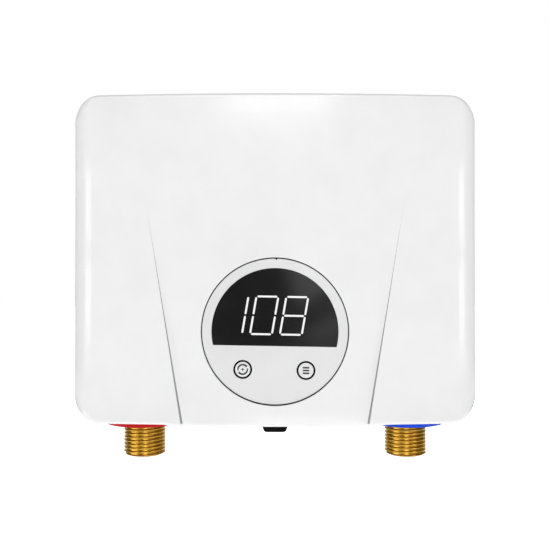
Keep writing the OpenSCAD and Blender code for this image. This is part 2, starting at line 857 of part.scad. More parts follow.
module retainer_screws() {
    under_d = drum_back_d - retainer_t;
    color("silver") translate([0, 0, panel_z]) at_bosses() {
        rod_y(small_head_r, [under_d - head_t, under_d], 0, 0);
        rod_y(small_screw_r, [under_d - head_t / 2, panel_board_d - retainer_t - slack], 0, 0);
    }
}

module friction_washer() {
    color("gold") translate([0, 0, panel_z]) difference() {
        rod_y(retainer_r - fit, [drum_back_d + fit, drum_back_d + fit + washer_t], 0, 0);
        rod_y(drum_r + slack, [drum_back_d - over, collar_back_d + over], 0, 0);
    }
}

// A key is a cap that fills the ring hole, with a flange behind the panel
module key(x) {
    color("whitesmoke") as_panel_is_turned() {
        rod_y(key_r, [key_flange_d, face_d], x, -key_drop);
        rod_y(key_flange_r, [key_flange_d, key_flange_d + key_flange_t], x, -key_drop);
    }
}
module mode_button() {
    key(-key_x);
}
module menu_button() {
    key(key_x);
}

module display_lead() {
    start = [0, -header_d + slack, panel_z];
    end = [0, -board_front_d - display_header_depth, display_header_z];
    color("dimgray")
        lead([start, start + [0, lead_reach, 0], end - [0, lead_reach, 0], end], display_lead_r, [1, 0, 0]);
}

// Brass pipe end: chamfered end, thread, plain shank through the collar, hexagonal shoulder and spigot
module fitting() {
    profile = concat(
        [[0, pipe_end], [root_r - end_bevel, pipe_end], [root_r, pipe_end + end_bevel]],
        [
            for (i = [0:thread_turns - 1])
                let (z = thread_start + i * thread_pitch)
                each [[root_r, z], [thread_r, z + crest_from], [thread_r, z + crest_to]]
        ],
        [
            [root_r, thread_end],
            [root_r, case_bottom - collar_t],
            [shank_r, case_bottom - collar_t + shank_r - root_r],
            [shank_r, shoulder_top],
            [spigot_r, shoulder_top],
            [spigot_r, groove_z - groove_w / 2],
            [spigot_r - groove_depth, groove_z - groove_w / 2],
            [spigot_r - groove_depth, groove_z + groove_w / 2],
            [spigot_r, groove_z + groove_w / 2],
            [spigot_r, spigot_top],
            [0, spigot_top]
        ]
    );
    color("goldenrod") at_pipe() difference() {
        union() {
            rotate_extrude() polygon(profile);
            translate([0, 0, shoulder_bottom]) cylinder(r = shoulder_r, h = shoulder_t, $fn = 6);
        }
        translate([0, 0, pipe_end - over]) cylinder(r = bore_r, h = spigot_top - pipe_end + 2 * over);
    }
}
module outlet_fitting() {
    on_side(-1) fitting();
}
module inlet_fitting() {
    fitting();
}

// Marker collar: a broad ring under the case, a neck through the lower wall and a lip inside
module collar() {
    at_pipe() difference() {
        union() {
            translate([0, 0, case_bottom - collar_t]) cylinder(r = collar_r, h = collar_t);
            translate([0, 0, case_bottom - fit])
                cylinder(r = collar_neck_r, h = shoulder_bottom - case_bottom + fit);
            translate([0, 0, lip_bottom]) cylinder(r = collar_lip_r, h = lip_t);
        }
        translate([0, 0, case_bottom - collar_t - over])
            cylinder(r = collar_bore_r, h = collar_t + 2 * beyond);
    }
}
module outlet_collar() {
    color("crimson") on_side(-1) collar();
}
module inlet_collar() {
    color("royalblue") collar();
}

module spigot_seals() {
    color("black") on_both_sides() at_pipe()
        translate([0, 0, groove_z]) rotate_extrude() translate([seal_axis_r, 0]) circle(seal_section_r);
}

// Strainer: a disc with square holes, on top of the inlet's spigot
module inlet_strainer() {
    pitch = 2.6;
    gap = 1.8;
    rows = floor((bore_r - gap) / pitch);
    color("lightgray") at_pipe() difference() {
        translate([0, 0, strainer_z]) cylinder(r = spigot_r, h = strainer_t);
        for (i = [-rows:rows], j = [-rows:rows])
            if (norm([i, j]) * pitch < bore_r - gap / 2)
                translate([i * pitch - gap / 2, j * pitch - gap / 2, strainer_z - over])
                    cube([gap, gap, strainer_t + 2 * over]);
    }
}

// Hub and spokes that hold one end of the turbine's pin
module spider(z, reach) {
    difference() {
        union() {
            translate([0, 0, z]) cylinder(r = hub_r, h = spider_t);
            for (i = [0:spokes - 1])
                rotate([0, 0, 90 + 360 * i / spokes]) translate([0, -spoke_w / 2, z])
                    cube([reach, spoke_w, spider_t]);
        }
        translate([0, 0, z - over]) cylinder(r = pin_r + fit / 2, h = spider_t + 2 * over);
    }
}

module flow_body() {
    color("ivory") at_pipe() {
        difference() {
            union() {
                translate([0, 0, neck_bottom]) cylinder(r = neck_r, h = neck_len);
                translate([-hall_half - hall_pad_t, split_d - hall_d, hall_z - hall_half - hall_pad_t])
                    cube([2 * (hall_half + hall_pad_t), hall_d - split_d, 2 * (hall_half + hall_pad_t)]);
            }
            translate([0, 0, neck_bottom - over]) cylinder(r = socket_r, h = neck_len + 2 * over);
        }
        spider(spider_z, socket_r + spoke_w / 2);
    }
}

// Turbine: slanted blades on a hub
module flow_turbine() {
    color("orange") at_pipe() difference() {
        union() {
            translate([0, 0, chamber_z]) cylinder(r = hub_r, h = turbine_h);
            intersection() {
                translate([0, 0, chamber_z]) cylinder(r = turbine_r, h = turbine_h);
                for (i = [0:blades - 1])
                    rotate([0, 0, 360 * i / blades]) translate([0, 0, hall_z]) rotate([blade_slant, 0, 0])
                        translate([hub_r / 2, -spoke_w / 2, -turbine_h])
                            cube([turbine_r, spoke_w, 2 * turbine_h]);
            }
        }
        translate([0, 0, chamber_z - over]) cylinder(r = pin_r + fit / 2, h = turbine_h + 2 * over);
    }
}

module turbine_pin() {
    color("silver") at_pipe() translate([0, 0, spider_z])
        cylinder(r = pin_r, h = top_spider_z + spider_t - spider_z);
}

module turbine_retainer() {
    color("ivory") at_pipe() {
        translate([0, 0, top_spider_z]) difference() {
            cylinder(r = socket_r - fit, h = spider_t);
            translate([0, 0, -over]) cylinder(r = turbine_r - spoke_w, h = spider_t + 2 * over);
        }
        spider(top_spider_z, turbine_r - spoke_w / 2);
    }
}

module hall_sensor() {
    color("black") box(about(pipe_x, hall_half), [hall_d, hall_d + hall_t], about(hall_z, hall_half));
}

// Barrel for the right side: a closed tube with a stub for the crossover pipe and a boss for its probe
module barrel_form(neck) {
    difference() {
        union() {
            rod_z(barrel_r, [barrel_bottom, barrel_top], pipe_x, split_d);
            rod_x(stub_r, [stub_x, pipe_x], split_d, cross_z);
            rod_y(probe_boss_r, [split_d, probe_boss_d], pipe_x, probe_z);
            if (neck) rod_z(neck_r, [neck_bottom, barrel_bottom + barrel_end_t / 2], pipe_x, split_d);
            children();
        }
        rod_z(
            barrel_r - barrel_wall,
            [barrel_bottom + barrel_end_t, barrel_top - barrel_end_t],
            pipe_x,
            split_d
        );
        rod_z(plug_r + fit, [barrel_top - barrel_end_t - over, barrel_top + over], pipe_x, split_d);
        rod_z(port_r, [neck_bottom - over, barrel_bottom + barrel_end_t + over], pipe_x, split_d);
        if (neck) rod_z(socket_r, [neck_bottom - over, spigot_top + slack], pipe_x, split_d);
        rod_x(cross_r + fit, [stub_x - over, stub_x + socket_len], split_d, cross_z);
        rod_x(cross_r - cross_wall, [stub_x, pipe_x], split_d, cross_z);
        rod_y(probe_r + fit, [split_d + barrel_r / 2, probe_boss_d + over], pipe_x, probe_z);
    }
}
module outlet_barrel() {
    color("silver") on_side(-1) barrel_form(true)
        rod_x(flat_r, [flat_x, inboard_x + flat_root], split_d, flat_z);
}
module inlet_barrel() {
    color("silver") barrel_form(false)
        box([flat_x, inboard_x + flat_root], about(split_d, flat_r - flat_margin), about(flat_z, flat_r));
}

// Heating element: flange, hexagonal head, plug, a bent rod in the water and two terminal pins
module element() {
    color("lightsteelblue") {
        rod_z(barrel_r - barrel_wall, [flange_z, head_z], pipe_x, split_d);
        at_pipe() translate([0, 0, head_z]) cylinder(r = plug_r + element_head_margin, h = flange_t, $fn = 6);
        rod_z(plug_r, [barrel_top - plug_len, flange_z], pipe_x, split_d);
        for (offset = [-rod_offset, rod_offset]) {
            rod_z(rod_r, [loop_z, barrel_top - plug_len], pipe_x, split_d + offset);
            rod_z(terminal_r, [pin_z, terminal_top], pipe_x, split_d + offset);
        }
        at_pipe() translate([0, 0, loop_z]) rotate([0, 0, 90]) rotate([-90, 0, 0])
            rotate_extrude(angle = 180) translate([rod_offset, 0]) circle(rod_r);
    }
}
module outlet_element() {
    on_side(-1) element();
}
module inlet_element() {
    element();
}

module element_gaskets() {
    color("firebrick") on_both_sides() difference() {
        rod_z(barrel_r - barrel_wall, [barrel_top, flange_z], pipe_x, split_d);
        rod_z(plug_r + fit, [barrel_top - over, flange_z + over], pipe_x, split_d);
    }
}

module crossover_pipe() {
    reach = stub_x + socket_len - fit;
    color("silver") difference() {
        rod_x(cross_r, [-reach, reach], split_d, cross_z);
        rod_x(cross_r - cross_wall, [-reach - over, reach + over], split_d, cross_z);
    }
}
module crossover_nuts() {
    color("goldenrod") on_both_sides() difference() {
        rod_x(stub_r, [stub_x - nut_len, stub_x], split_d, cross_z, $fn = 6);
        rod_x(cross_r + fit, [stub_x - nut_len - over, stub_x + over], split_d, cross_z);
    }
}

// Strap over the front of a barrel, hooked into the cradle outside and screwed down inside
module strap(z) {
    height = about(z, strap_w / 2);
    difference() {
        union() {
            intersection() {
                rod_z(strap_outer_r, height, pipe_x, split_d);
                box(about(pipe_x, case_w), [split_d, case_d], height);
            }
            box([pipe_x - strap_outer_r, pipe_x - barrel_r], [foot_d, split_d], height);
            box([pipe_x + barrel_r, pipe_x + strap_outer_r], [hook_d, split_d], height);
            box([pipe_x + strap_r - hook_len, pipe_x + strap_outer_r], [hook_d, hook_d + strap_t], height);
            box([foot_x - foot_w / 2, pipe_x - strap_r], [foot_d, foot_d + strap_t], height);
        }
        rod_z(strap_r, about(z, strap_w), pipe_x, split_d);
        rod_y(screw_r + fit, [foot_d - over, foot_d + strap_t + over], foot_x, z);
    }
}
module barrel_straps() {
    color("silver") on_both_sides() for (z = strap_z) strap(z);
}
module strap_screws() {
    color("silver") on_both_sides() for (z = strap_z) screw_y(foot_d + strap_t, foot_x, z);
}

module temperature_probes() {
    color("goldenrod") on_both_sides() {
        rod_y(probe_r, [split_d + barrel_r / 2, probe_boss_d + probe_head_t / 2], pipe_x, probe_z);
        rod_y(probe_boss_r, [probe_boss_d, probe_boss_d + probe_head_t], pipe_x, probe_z, $fn = 6);
    }
}

module thermal_cutout() {
    color("black") on_side(-1) difference() {
        union() {
            rod_x(cutout_r, [flat_x - cutout_len, flat_x], split_d, flat_z);
            rod_x(cap_r, [flat_x - cutout_len - cap_len, flat_x], split_d, flat_z);
        }
        rod_x(
            reset_r + fit,
            [flat_x - cutout_len - cap_len - over, flat_x - cutout_len - cap_len + reset_len + slack],
            split_d,
            flat_z
        );
    }
}
module reset_button() {
    end = flat_x - cutout_len - cap_len - reset_proud;
    color("red") on_side(-1) rod_x(reset_r, [end, end + reset_len], split_d, flat_z);
}

module power_board() {
    color("darkgreen") difference() {
        union() {
            box(about(0, board_w / 2), [board_d, board_front_d], [board_bottom, board_top]);
            box(
                about(0, display_header_w / 2),
                [board_d + board_t / 2, board_front_d + display_header_depth],
                about(display_header_z, display_header_h / 2)
            );
        }
        for (x = [-board_screw_x, board_screw_x], z = board_screw_z)
            rod_y(screw_r + fit, [board_d - over, board_front_d + over], x, z);
    }
}
module board_screws() {
    color("silver") for (x = [-board_screw_x, board_screw_x], z = board_screw_z)
        screw_y(board_front_d, x, z, length = board_front_d - wall - slack);
}

module relays() {
    color("black") for (x = [-relay_axis_x, relay_axis_x])
        box(
            about(x, relay_w / 2),
            [board_front_d, board_front_d + relay_depth],
            [relay_top - relay_h, relay_top]
        );
}
module transformer() {
    color("gold") box(
        about(transformer_x, transformer_w / 2),
        [board_front_d, board_front_d + transformer_depth],
        [transformer_top - transformer_h, transformer_top]
    );
}
module capacitors() {
    color("navy") for (i = [0:capacitor_count - 1])
        rod_y(
            capacitor_r,
            [board_front_d, board_front_d + capacitor_len],
            first_capacitor_x - i * capacitor_pitch,
            capacitor_z
        );
}

// Heat sink on the flat of the cold barrel, with the triacs on its other face
module heat_sink() {
    color("silver") box(
        [flat_x - sink_t, flat_x],
        about(split_d, sink_depth / 2),
        about(flat_z, sink_h / 2)
    );
}
module triacs() {
    face = flat_x - sink_t;
    color("black") for (side = [-1, 1])
        box(
            [face - triac_t, face],
            about(split_d, triac_depth / 2),
            about(flat_z + side * (triac_h + triac_gap) / 2, triac_h / 2)
        );
}

module terminal_block() {
    top_d = block_d + block_depth;
    color("ivory") difference() {
        box(about(0, block_w / 2), [block_d, top_d], [block_z, block_z + block_h]);
        for (i = [-1:1]) {
            rod_y(
                clamp_recess_r,
                [top_d - clamp_recess_len, top_d + over],
                i * terminal_pitch,
                block_middle_z
            );
            rod_z(
                lead_r + fit,
                [block_z - over, block_z + wire_hole_len],
                i * terminal_pitch,
                block_d + block_depth / 2
            );
        }
    }
}
module terminal_screws() {
    bottom_d = block_d + block_depth - clamp_recess_len;
    color("silver") for (i = [-1:1])
        rod_y(block_screw_r, [bottom_d, bottom_d + block_screw_t], i * terminal_pitch, block_middle_z);
}
module earth_screw() {
    color("goldenrod")
        screw_y(earth_d, earth_x, block_middle_z, head = earth_r, length = earth_d - wall - slack);
}

module supply_leads() {
    color("saddlebrown") for (x = supply_lead_x) {
        start = [x, -block_d - block_depth / 2, block_z + block_h];
        end = [x, -board_front_d, supply_lead_top];
        lead([start, start + [0, 0, lead_reach], end - [0, lead_reach, 0], end], lead_r, [1, 0, 0]);
    }
}
module element_leads() {
    color("brown") on_both_sides() for (i = [0, 1]) {
        pin_d = split_d + (i == 0 ? rod_offset : -rod_offset);
        start = [element_lead_start_x, -board_front_d, element_lead_z[i]];
        end = [pipe_x, -pin_d, terminal_top];
        lead([start, [start[0], -pin_d, start[2]], end + [0, 0, lead_reach], end], lead_r, [0, 1, -1]);
    }
}

// Rubber gland: tapered on all sides below the case, with a neck through the lower wall and a lip inside
module cable_gland() {
    low = case_bottom - gland_drop;
    side = [
        [-gland_w / 2 + gland_taper, low],
        [gland_w / 2 - gland_taper, low],
        [gland_w / 2, case_bottom],
        [-gland_w / 2, case_bottom]
    ];
    front = [
        [gland_depth / 2 - gland_taper, low],
        [gland_depth / 2, case_bottom],
        [-gland_depth / 2, case_bottom],
        [-gland_depth / 2 + gland_taper, low]
    ];
    color([0.05, 0.05, 0.05]) difference() {
        union() {
            intersection() {
                slab(side, about(split_d, gland_depth));
                translate([-gland_w, -split_d, 0]) rotate([90, 0, 90])
                    linear_extrude(2 * gland_w) polygon(front);
            }
            box(
                about(0, gland_neck_w / 2),
                about(split_d, gland_neck_depth / 2),
                [case_bottom - fit, gland_top]
            );
            box(about(0, gland_w / 2), about(split_d, gland_depth / 2), [inner_bottom + fit, gland_top]);
        }
        rod_z(cable_r, [low - over, gland_top + over], 0, split_d);
    }
}

module cable_clamp() {
    color("gray") difference() {
        box(about(0, clamp_w / 2), [split_d + slack / 2, clamp_face_d], [clamp_z, clamp_z + clamp_h]);
        rod_z(cable_r, about(clamp_z + clamp_h / 2, clamp_h), 0, split_d);
        for (x = [-clamp_screw_x, clamp_screw_x])
            rod_y(screw_r + fit, [split_d, clamp_face_d + over], x, clamp_z + clamp_h / 2);
    }
}
module clamp_screws() {
    color("silver") for (x = [-clamp_screw_x, clamp_screw_x])
        screw_y(clamp_face_d, x, clamp_z + clamp_h / 2, length = clamp_face_d - split_d + screw_len);
}

back_shell();
front_cover();
case_seal();
cover_screws();
panel_disc();
display_window();
panel_drum();
display_board();
digit_module();
key_switches();
panel_retainer();
retainer_screws();
friction_washer();
mode_button();
menu_button();
display_lead();
outlet_fitting();
inlet_fitting();
outlet_collar();
inlet_collar();
spigot_seals();
inlet_strainer();
flow_body();
flow_turbine();
turbine_pin();
turbine_retainer();
hall_sensor();
outlet_barrel();
inlet_barrel();
outlet_element();
inlet_element();
element_gaskets();
crossover_pipe();
crossover_nuts();
barrel_straps();
strap_screws();
temperature_probes();
thermal_cutout();
reset_button();
power_board();
board_screws();
relays();
transformer();
capacitors();
heat_sink();
triacs();
terminal_block();
terminal_screws();
earth_screw();
supply_leads();
element_leads();
cable_gland();
cable_clamp();
clamp_screws();
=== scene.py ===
# %% [markdown]
# # A wall-hung tankless water heater
# The heater is a white moulded case with a round control dial, two brass pipe ends and a cable gland below.
# The packed solids are loaded first and stay where they are. Every piece that shows is then remade around
# them with finer edges and finishes, and what lies inside the case keeps its solid and gets a finish.

# %% Load the frame
import json
import math
from functools import partial, partialmethod

import bmesh
import bpy
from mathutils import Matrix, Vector
from mathutils.geometry import delaunay_2d_cdt


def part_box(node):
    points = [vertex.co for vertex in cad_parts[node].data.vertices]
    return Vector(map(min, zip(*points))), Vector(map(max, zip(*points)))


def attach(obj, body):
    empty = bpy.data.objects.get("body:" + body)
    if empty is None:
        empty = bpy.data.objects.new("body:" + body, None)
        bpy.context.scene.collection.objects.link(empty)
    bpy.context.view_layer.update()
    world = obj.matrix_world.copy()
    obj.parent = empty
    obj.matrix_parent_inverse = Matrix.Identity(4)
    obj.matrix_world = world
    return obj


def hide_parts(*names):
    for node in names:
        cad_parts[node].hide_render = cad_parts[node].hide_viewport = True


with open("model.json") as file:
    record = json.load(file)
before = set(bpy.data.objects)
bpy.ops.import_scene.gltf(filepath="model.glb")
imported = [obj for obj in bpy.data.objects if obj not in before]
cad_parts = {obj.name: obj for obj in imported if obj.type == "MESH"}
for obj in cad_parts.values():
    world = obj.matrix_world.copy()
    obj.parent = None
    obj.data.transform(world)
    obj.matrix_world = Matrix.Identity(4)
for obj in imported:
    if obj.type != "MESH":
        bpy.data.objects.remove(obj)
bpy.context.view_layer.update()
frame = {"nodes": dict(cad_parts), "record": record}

scene = bpy.context.scene
MM = 0.001

# %% [markdown]
# ## Camera
# The heater is seen square from the front, so both pipe ends look alike and no side wall shows. A camera
# could be turned to frame the heater, but that would bring the upright edges together. Here it looks level
# along +Y, at the height where the case fills the upper part of the picture, with a lens that gives the
# right width.

# %% Camera
camera_distance = 0.430
camera_height = -0.0069


def add_object(name, data):
    """A new object in the scene, at the origin."""
    made = bpy.data.objects.new(name, data)
    scene.collection.objects.link(made)
    return made


camera = add_object("front_camera", bpy.data.cameras.new("front_camera"))
camera.data.sensor_width = 36
camera.data.lens = 51.2
camera.location = (0, -camera_distance, camera_height)
camera.rotation_euler = (math.radians(90), 0, 0)
scene.camera = camera
scene.view_settings.view_transform = "Standard"
print("camera at", tuple(camera.location), "lens", camera.data.lens)

# %% [markdown]
# ## A hand for node trees
# Materials, the world and Geometry Nodes are all node trees, and each sum in them is a node with sockets to
# fill and links to draw. Written out, that hides the idea. Here a node's output becomes a value that Python
# can add and multiply: every sign in a formula adds one Math node, so that a tree reads like plain
# arithmetic.


# %% Node helper
class Value:
    """A node's output that takes part in formulas. Each operation adds a node behind it."""

    def __init__(self, nodes, socket):
        self.nodes = nodes
        self.socket = socket

    def apply(self, operation, *others):
        inputs = dict(enumerate((self, *others)))
        return self.nodes.add("ShaderNodeMath", inputs=inputs, operation=operation)

    def remap(self, low, high, to_low=0.0, to_high=1.0, **settings):
        """Carries one range over to another, and stays at its ends."""
        ends = {"From Min": low, "From Max": high, "To Min": to_low, "To Max": to_high}
        return self.nodes.add("ShaderNodeMapRange", inputs={"Value": self, **ends}, **settings)

    def fade(self, low, high):
        """Rises smoothly from 0 to 1 between two values."""
        return self.remap(low, high, interpolation_type="SMOOTHSTEP")

    def clamp(self):
        """Stays between 0 and 1."""
        return self.nodes.add("ShaderNodeClamp", inputs={0: self})

    def __rsub__(self, other):
        return self.apply("MULTIPLY_ADD", -1.0, other)

    __add__ = __radd__ = partialmethod(apply, "ADD")
    __sub__ = partialmethod(apply, "SUBTRACT")
    __mul__ = __rmul__ = partialmethod(apply, "MULTIPLY")
    __truediv__ = partialmethod(apply, "DIVIDE")
    __pow__ = partialmethod(apply, "POWER")
    __abs__ = partialmethod(apply, "ABSOLUTE")


class Nodes:
    """Adds nodes to a tree, fills their inputs and joins them."""

    def __init__(self, tree):
        self.tree = tree

    def put(self, sockets, values):
        """Fills sockets by their names or numbers, with constants or with other nodes' values."""
        for key, value in values.items():
            if isinstance(value, Value):
                self.tree.links.new(value.socket, sockets[key])
            else:
                sockets[key].default_value = value

    def add(self, kind, *outputs, inputs=None, **settings):
        """A new node. Gives the outputs that are named, or else its first one."""
        node = self.tree.nodes.new(kind)
        for name, value in settings.items():
            setattr(node, name, value)
        self.put(node.inputs, inputs or {})
        values = [Value(self, node.outputs[name]) for name in outputs or (0,)]
        return values if len(values) > 1 else values[0]


print("signs in a formula:", [name for name, part in vars(Value).items() if isinstance(part, partialmethod)])

# %% [markdown]
# ## World
# The background is plain white. A world that bright would also flood the heater with light, so it is white
# only for what the camera sees, straight, mirrored or through glass, and dimmer where it lights the
# surfaces.

# %% World
WHITE = (1, 1, 1, 1)
sky_light = 0.50


def looked_at(nodes):
    """1 for what is seen straight, mirrored or through glass, and 0 for rays that only carry light."""
    straight, mirrored, through = nodes.add(
        "ShaderNodeLightPath", "Is Camera Ray", "Is Glossy Ray", "Is Transmission Ray"
    )
    return straight.apply("MAXIMUM", mirrored).apply("MAXIMUM", through)


world = bpy.data.worlds.new("studio")
world.use_nodes = True
scene.world = world
nodes = Nodes(world.node_tree)
strength = looked_at(nodes) * (1 - sky_light) + sky_light
nodes.put(nodes.tree.nodes["Background"].inputs, {"Color": WHITE, "Strength": strength})
print("world lights at", sky_light)

# %% [markdown]
# ## Floor
# The heater hangs on a wall, so the pale floor lies well below it. A floor in even light would end in a
# grey horizon. This one glows more with distance, so that it turns into the white background, and it keeps
# the heater's soft shadow near by.


# %% Floor
def new_finish(name):
    """A new material, its nodes, its shader's inputs and the object's own coordinates, in metres."""
    material = bpy.data.materials.new(name)
    material.use_nodes = True
    nodes = Nodes(material.node_tree)
    shader = nodes.tree.nodes["Principled BSDF"].inputs
    return material, nodes, shader, nodes.add("ShaderNodeTexCoord", "Object")


def flat_sheet(name, centre, width, height, facing, material):
    """A rectangle that looks along the given direction, for the floor and the cards."""
    mesh = bpy.data.meshes.new(name)
    x, y = width / 2, height / 2
    mesh.from_pydata([(-x, -y, 0), (x, -y, 0), (x, y, 0), (-x, y, 0)], [], [(0, 1, 2, 3)])
    stand = Vector(facing).to_track_quat("Z", "Y").to_matrix().to_4x4()
    stand.translation = Vector(centre)
    mesh.transform(stand)
    mesh.materials.append(material)
    sheet = add_object(name, mesh)
    return sheet


floor_size, floor_height = 14, -0.30
near, far = 0.35, 0.75
near_glow, far_glow = 0.22, 1.0
floor_light = 0.28
floor_white = (0.9, 0.9, 0.9, 1)
floor_paint, nodes, shader, here = new_finish("floor_paint")
distance = nodes.add("ShaderNodeVectorMath", "Value", inputs={0: here}, operation="LENGTH")
seen_glow = distance.remap(near, far, near_glow, far_glow)
glow = looked_at(nodes) * (seen_glow - floor_light) + floor_light
nodes.put(shader, {"Base Color": floor_white, "Roughness": 0.9})
nodes.put(shader, {"Emission Color": WHITE, "Emission Strength": glow})
flat_sheet("floor", (0, 0, floor_height), floor_size, floor_size, (0, 0, 1), floor_paint)
print("floor at", floor_height, "m")

# %% [markdown]
# ## Cards around the case
# Gloss needs something to mirror. A bright card on each side draws the line down the rounded edge, with
# soft ends and a dimmer place in it. Darker cards at the sides, high in front, behind and overhead keep the
# outline crisp against the white. Lamps could do this too, but would also light the case. The cards show
# only in mirrors, apart from the one overhead, which is dark in a mirror and yet gives the top a little
# light.


# %% Cards around the case
def card(name, centre, width, height, facing, brightness):
    """A card that only mirrors see. Its brightness is a number, or a formula made with the card's nodes."""
    material = bpy.data.materials.new(name)
    material.use_nodes = True
    nodes = Nodes(material.node_tree)
    nodes.tree.nodes.remove(nodes.tree.nodes["Principled BSDF"])
    strength = brightness(nodes) if callable(brightness) else brightness
    glow = nodes.add("ShaderNodeEmission", inputs={"Color": WHITE, "Strength": strength})
    nodes.put(nodes.tree.nodes["Material Output"].inputs, {"Surface": glow})
    sheet = flat_sheet(name, centre, width, height, facing, material)
    sheet.visible_camera = False
    sheet.visible_diffuse = False
    sheet.visible_shadow = False
    return sheet


def spot_on(nodes, *axes):
    """Where a point lies along the named axes, in metres."""
    here = nodes.add("ShaderNodeTexCoord", "Object")
    return nodes.add("ShaderNodeSeparateXYZ", *axes, inputs={0: here})


streak_foot, streak_top = (-0.10, -0.033), (0.096, 0.072)
dim_height, dim_half = 0.020, 0.015
card_glow, dim_glow, streak_glow = 0.5, 0.2, 3.3
mirrored_dark, lit_from_above = 0.02, 0.20


def edge_streak(nodes):
    """Bright between two soft ends, and dimmer at one height."""
    height = spot_on(nodes, "Z")
    ends = height.fade(*streak_foot) * height.fade(*streak_top)
    beyond_dim = abs(height - dim_height).fade(0.0, dim_half)
    return ends * (beyond_dim * streak_glow + dim_glow) + card_glow


def overhead_glow(nodes):
    """Nearly black where it is mirrored, and brighter for the light that it gives."""
    mirrored = nodes.add("ShaderNodeLightPath", "Is Glossy Ray")
    return mirrored * (mirrored_dark - lit_from_above) + lit_from_above


for side, name in ((-1, "left"), (1, "right")):
    card(name + "_dark", (side * 0.80, 0.05, 0.0), 1.1, 1.6, (-side, -0.2, 0), 0.25)
    card(name + "_bright", (side * 0.295, -0.283, -0.02), 0.11, 0.25, (-side, 1.05, 0), edge_streak)
    card(name + "_high", (side * 0.92, -0.80, 0.53), 1.5, 0.50, (-side, 0.85, -0.25), 0.4)
card("behind_dark", (0, 0.95, 0.42), 1.6, 0.28, (0, -1, 0), 0.05)
overhead = card("overhead_dark", (0, 0.28, 0.50), 1.6, 1.26, (0, 0, -1), overhead_glow)
overhead.visible_diffuse = True

# %% [markdown]
# ## A ring of cards for the brass
# Polished brass shows only what stands around it. A low ring of cards, bright and dark by turns, gives each
# pipe end its upright stripes. The ring is made of short flat cards, and every card fades to white at its
# upper end, so that the white case above doesn't mirror a hard edge.

# %% Ring of cards
ring_r, ring_low, ring_high = 0.60, -0.295, -0.12
dark_fade, bright_fade = (-0.195, ring_high), (-0.212, -0.188)
card_angle = 12
ring = (
    (-180, -80, 0.1),
    (-80, -46, 3.2),
    (-46, -34, 1.0),
    (-34, -10, 0.25),
    (-10, -3, 1.0),
    (-3, 17, 3.2),
    (17, 64, 0.4),
    (64, 180, 0.1),
)


def ring_glow(brightness, nodes):
    """One brightness below, which fades to white above."""
    upper = spot_on(nodes, "Z").fade(*(bright_fade if brightness > 1 else dark_fade))
    return upper * (1.0 - brightness) + brightness


for number, (start, end, brightness) in enumerate(ring):
    for part, angle in enumerate(range(start, end, card_angle)):
        wide = min(card_angle, end - angle)
        towards = math.radians(angle + wide / 2)
        out = Vector((math.sin(towards), -math.cos(towards), 0))
        centre = ring_r * out + Vector((0, 0, (ring_low + ring_high) / 2))
        width = ring_r * math.radians(wide)
        glow = partial(ring_glow, brightness)
        card(f"ring_{number}_{part}", centre, width, ring_high - ring_low, -out, glow)

# %% [markdown]
# ## What the window mirrors
# The dark window is a mirror, and shows a dim room with two soft bright areas on the right. A photographer
# would hang a card with cut-outs behind the camera. Here the card's brightness is a formula: each edge is a
# line on the window, in millimetres from the dial's centre, and fades over a few millimetres.

# %% Window card
mirror_y = -1.30
window_y, window_z = -0.070, -0.033
window_away = camera_distance + window_y
spread_by = (window_away - mirror_y + window_y) / window_away
card_z = camera_height + spread_by * (window_z - camera_height)
card_lift = 0.06
on_window = 1 / (spread_by * MM)
upper_lean, upper_slope, lower_slope = 0.33, 0.52, 0.475
upper_left, upper_low = (11, 20), (4, 9)
lower_left, lower_top, lower_fall = (10, 22), (4, 8), (6, 22)
bar_x, bar_edge, bar_shade = 8.4, (0.2, 1.6), 0.4
room_edge, room_glow, room_rise = (-4, 12), 0.16, 0.20
upper_glow, lower_glow, lower_shade = 1.05, 0.75, 0.8


def window_glow(nodes):
    """A room that is lighter to the right, an upper area with a window bar across it, and a lower area."""
    x, z = spot_on(nodes, "X", "Z")
    x, z = x * on_window, (z - card_z) * on_window
    upper = (x + z * upper_lean).fade(*upper_left) * (z - x * upper_slope).fade(*upper_low)
    upper = upper * (abs(x - bar_x).fade(*bar_edge) * bar_shade + (1 - bar_shade))
    below = x * lower_slope - z
    lower = below.fade(*lower_top) * x.fade(*lower_left) * (1 - below.fade(*lower_fall) * lower_shade)
    room = x.fade(*room_edge) * room_rise + room_glow
    return upper * upper_glow + lower * lower_glow + room


card("window_card", (0, mirror_y, card_z + card_lift), 0.34, 0.26, (0, 1, 0), window_glow)
print("window card spreads", round(spread_by, 2), "times")

# %% [markdown]
# ## Lamps
# A broad soft lamp high in front lights the face, and stands too high to be mirrored in it. A small one
# lower down leaves the pale glow at the top of the front. One lamp behind, one on each side and a narrow
# one below light what those two leave dark. These four are hidden from mirrors, because a lamp's image
# would be a white patch on the gloss.


# %% Lamps
def soft_lamp(name, place, size, watts, aim=(0, -0.05, 0), mirrored=False):
    """A rectangular lamp that looks at a point of the heater."""
    lamp = bpy.data.lights.new(name, "AREA")
    lamp.shape = "RECTANGLE"
    lamp.size, lamp.size_y = size
    lamp.energy = watts
    stand = add_object(name, lamp)
    stand.location = place
    stand.rotation_euler = (Vector(place) - Vector(aim)).to_track_quat("Z", "Y").to_euler()
    stand.visible_glossy = mirrored


soft_lamp("front_lamp", (0, -1.40, 0.95), (1.4, 0.6), 9.3, mirrored=True)
soft_lamp("top_patch_lamp", (0, -1.45, 0.45), (0.42, 0.22), 0.92, mirrored=True)
soft_lamp("back_lamp", (0, 1.8, 0.30), (1.5, 0.8), 8.0)
for side, name in ((-1, "left"), (1, "right")):
    soft_lamp(name + "_lamp", (side * 1.8, 0.35, 0.25), (0.8, 0.8), 3.0)
soft_lamp("low_lamp", (0, -0.078, -0.285), (0.30, 0.02), 0.20, aim=(0, -0.068, -0.077))

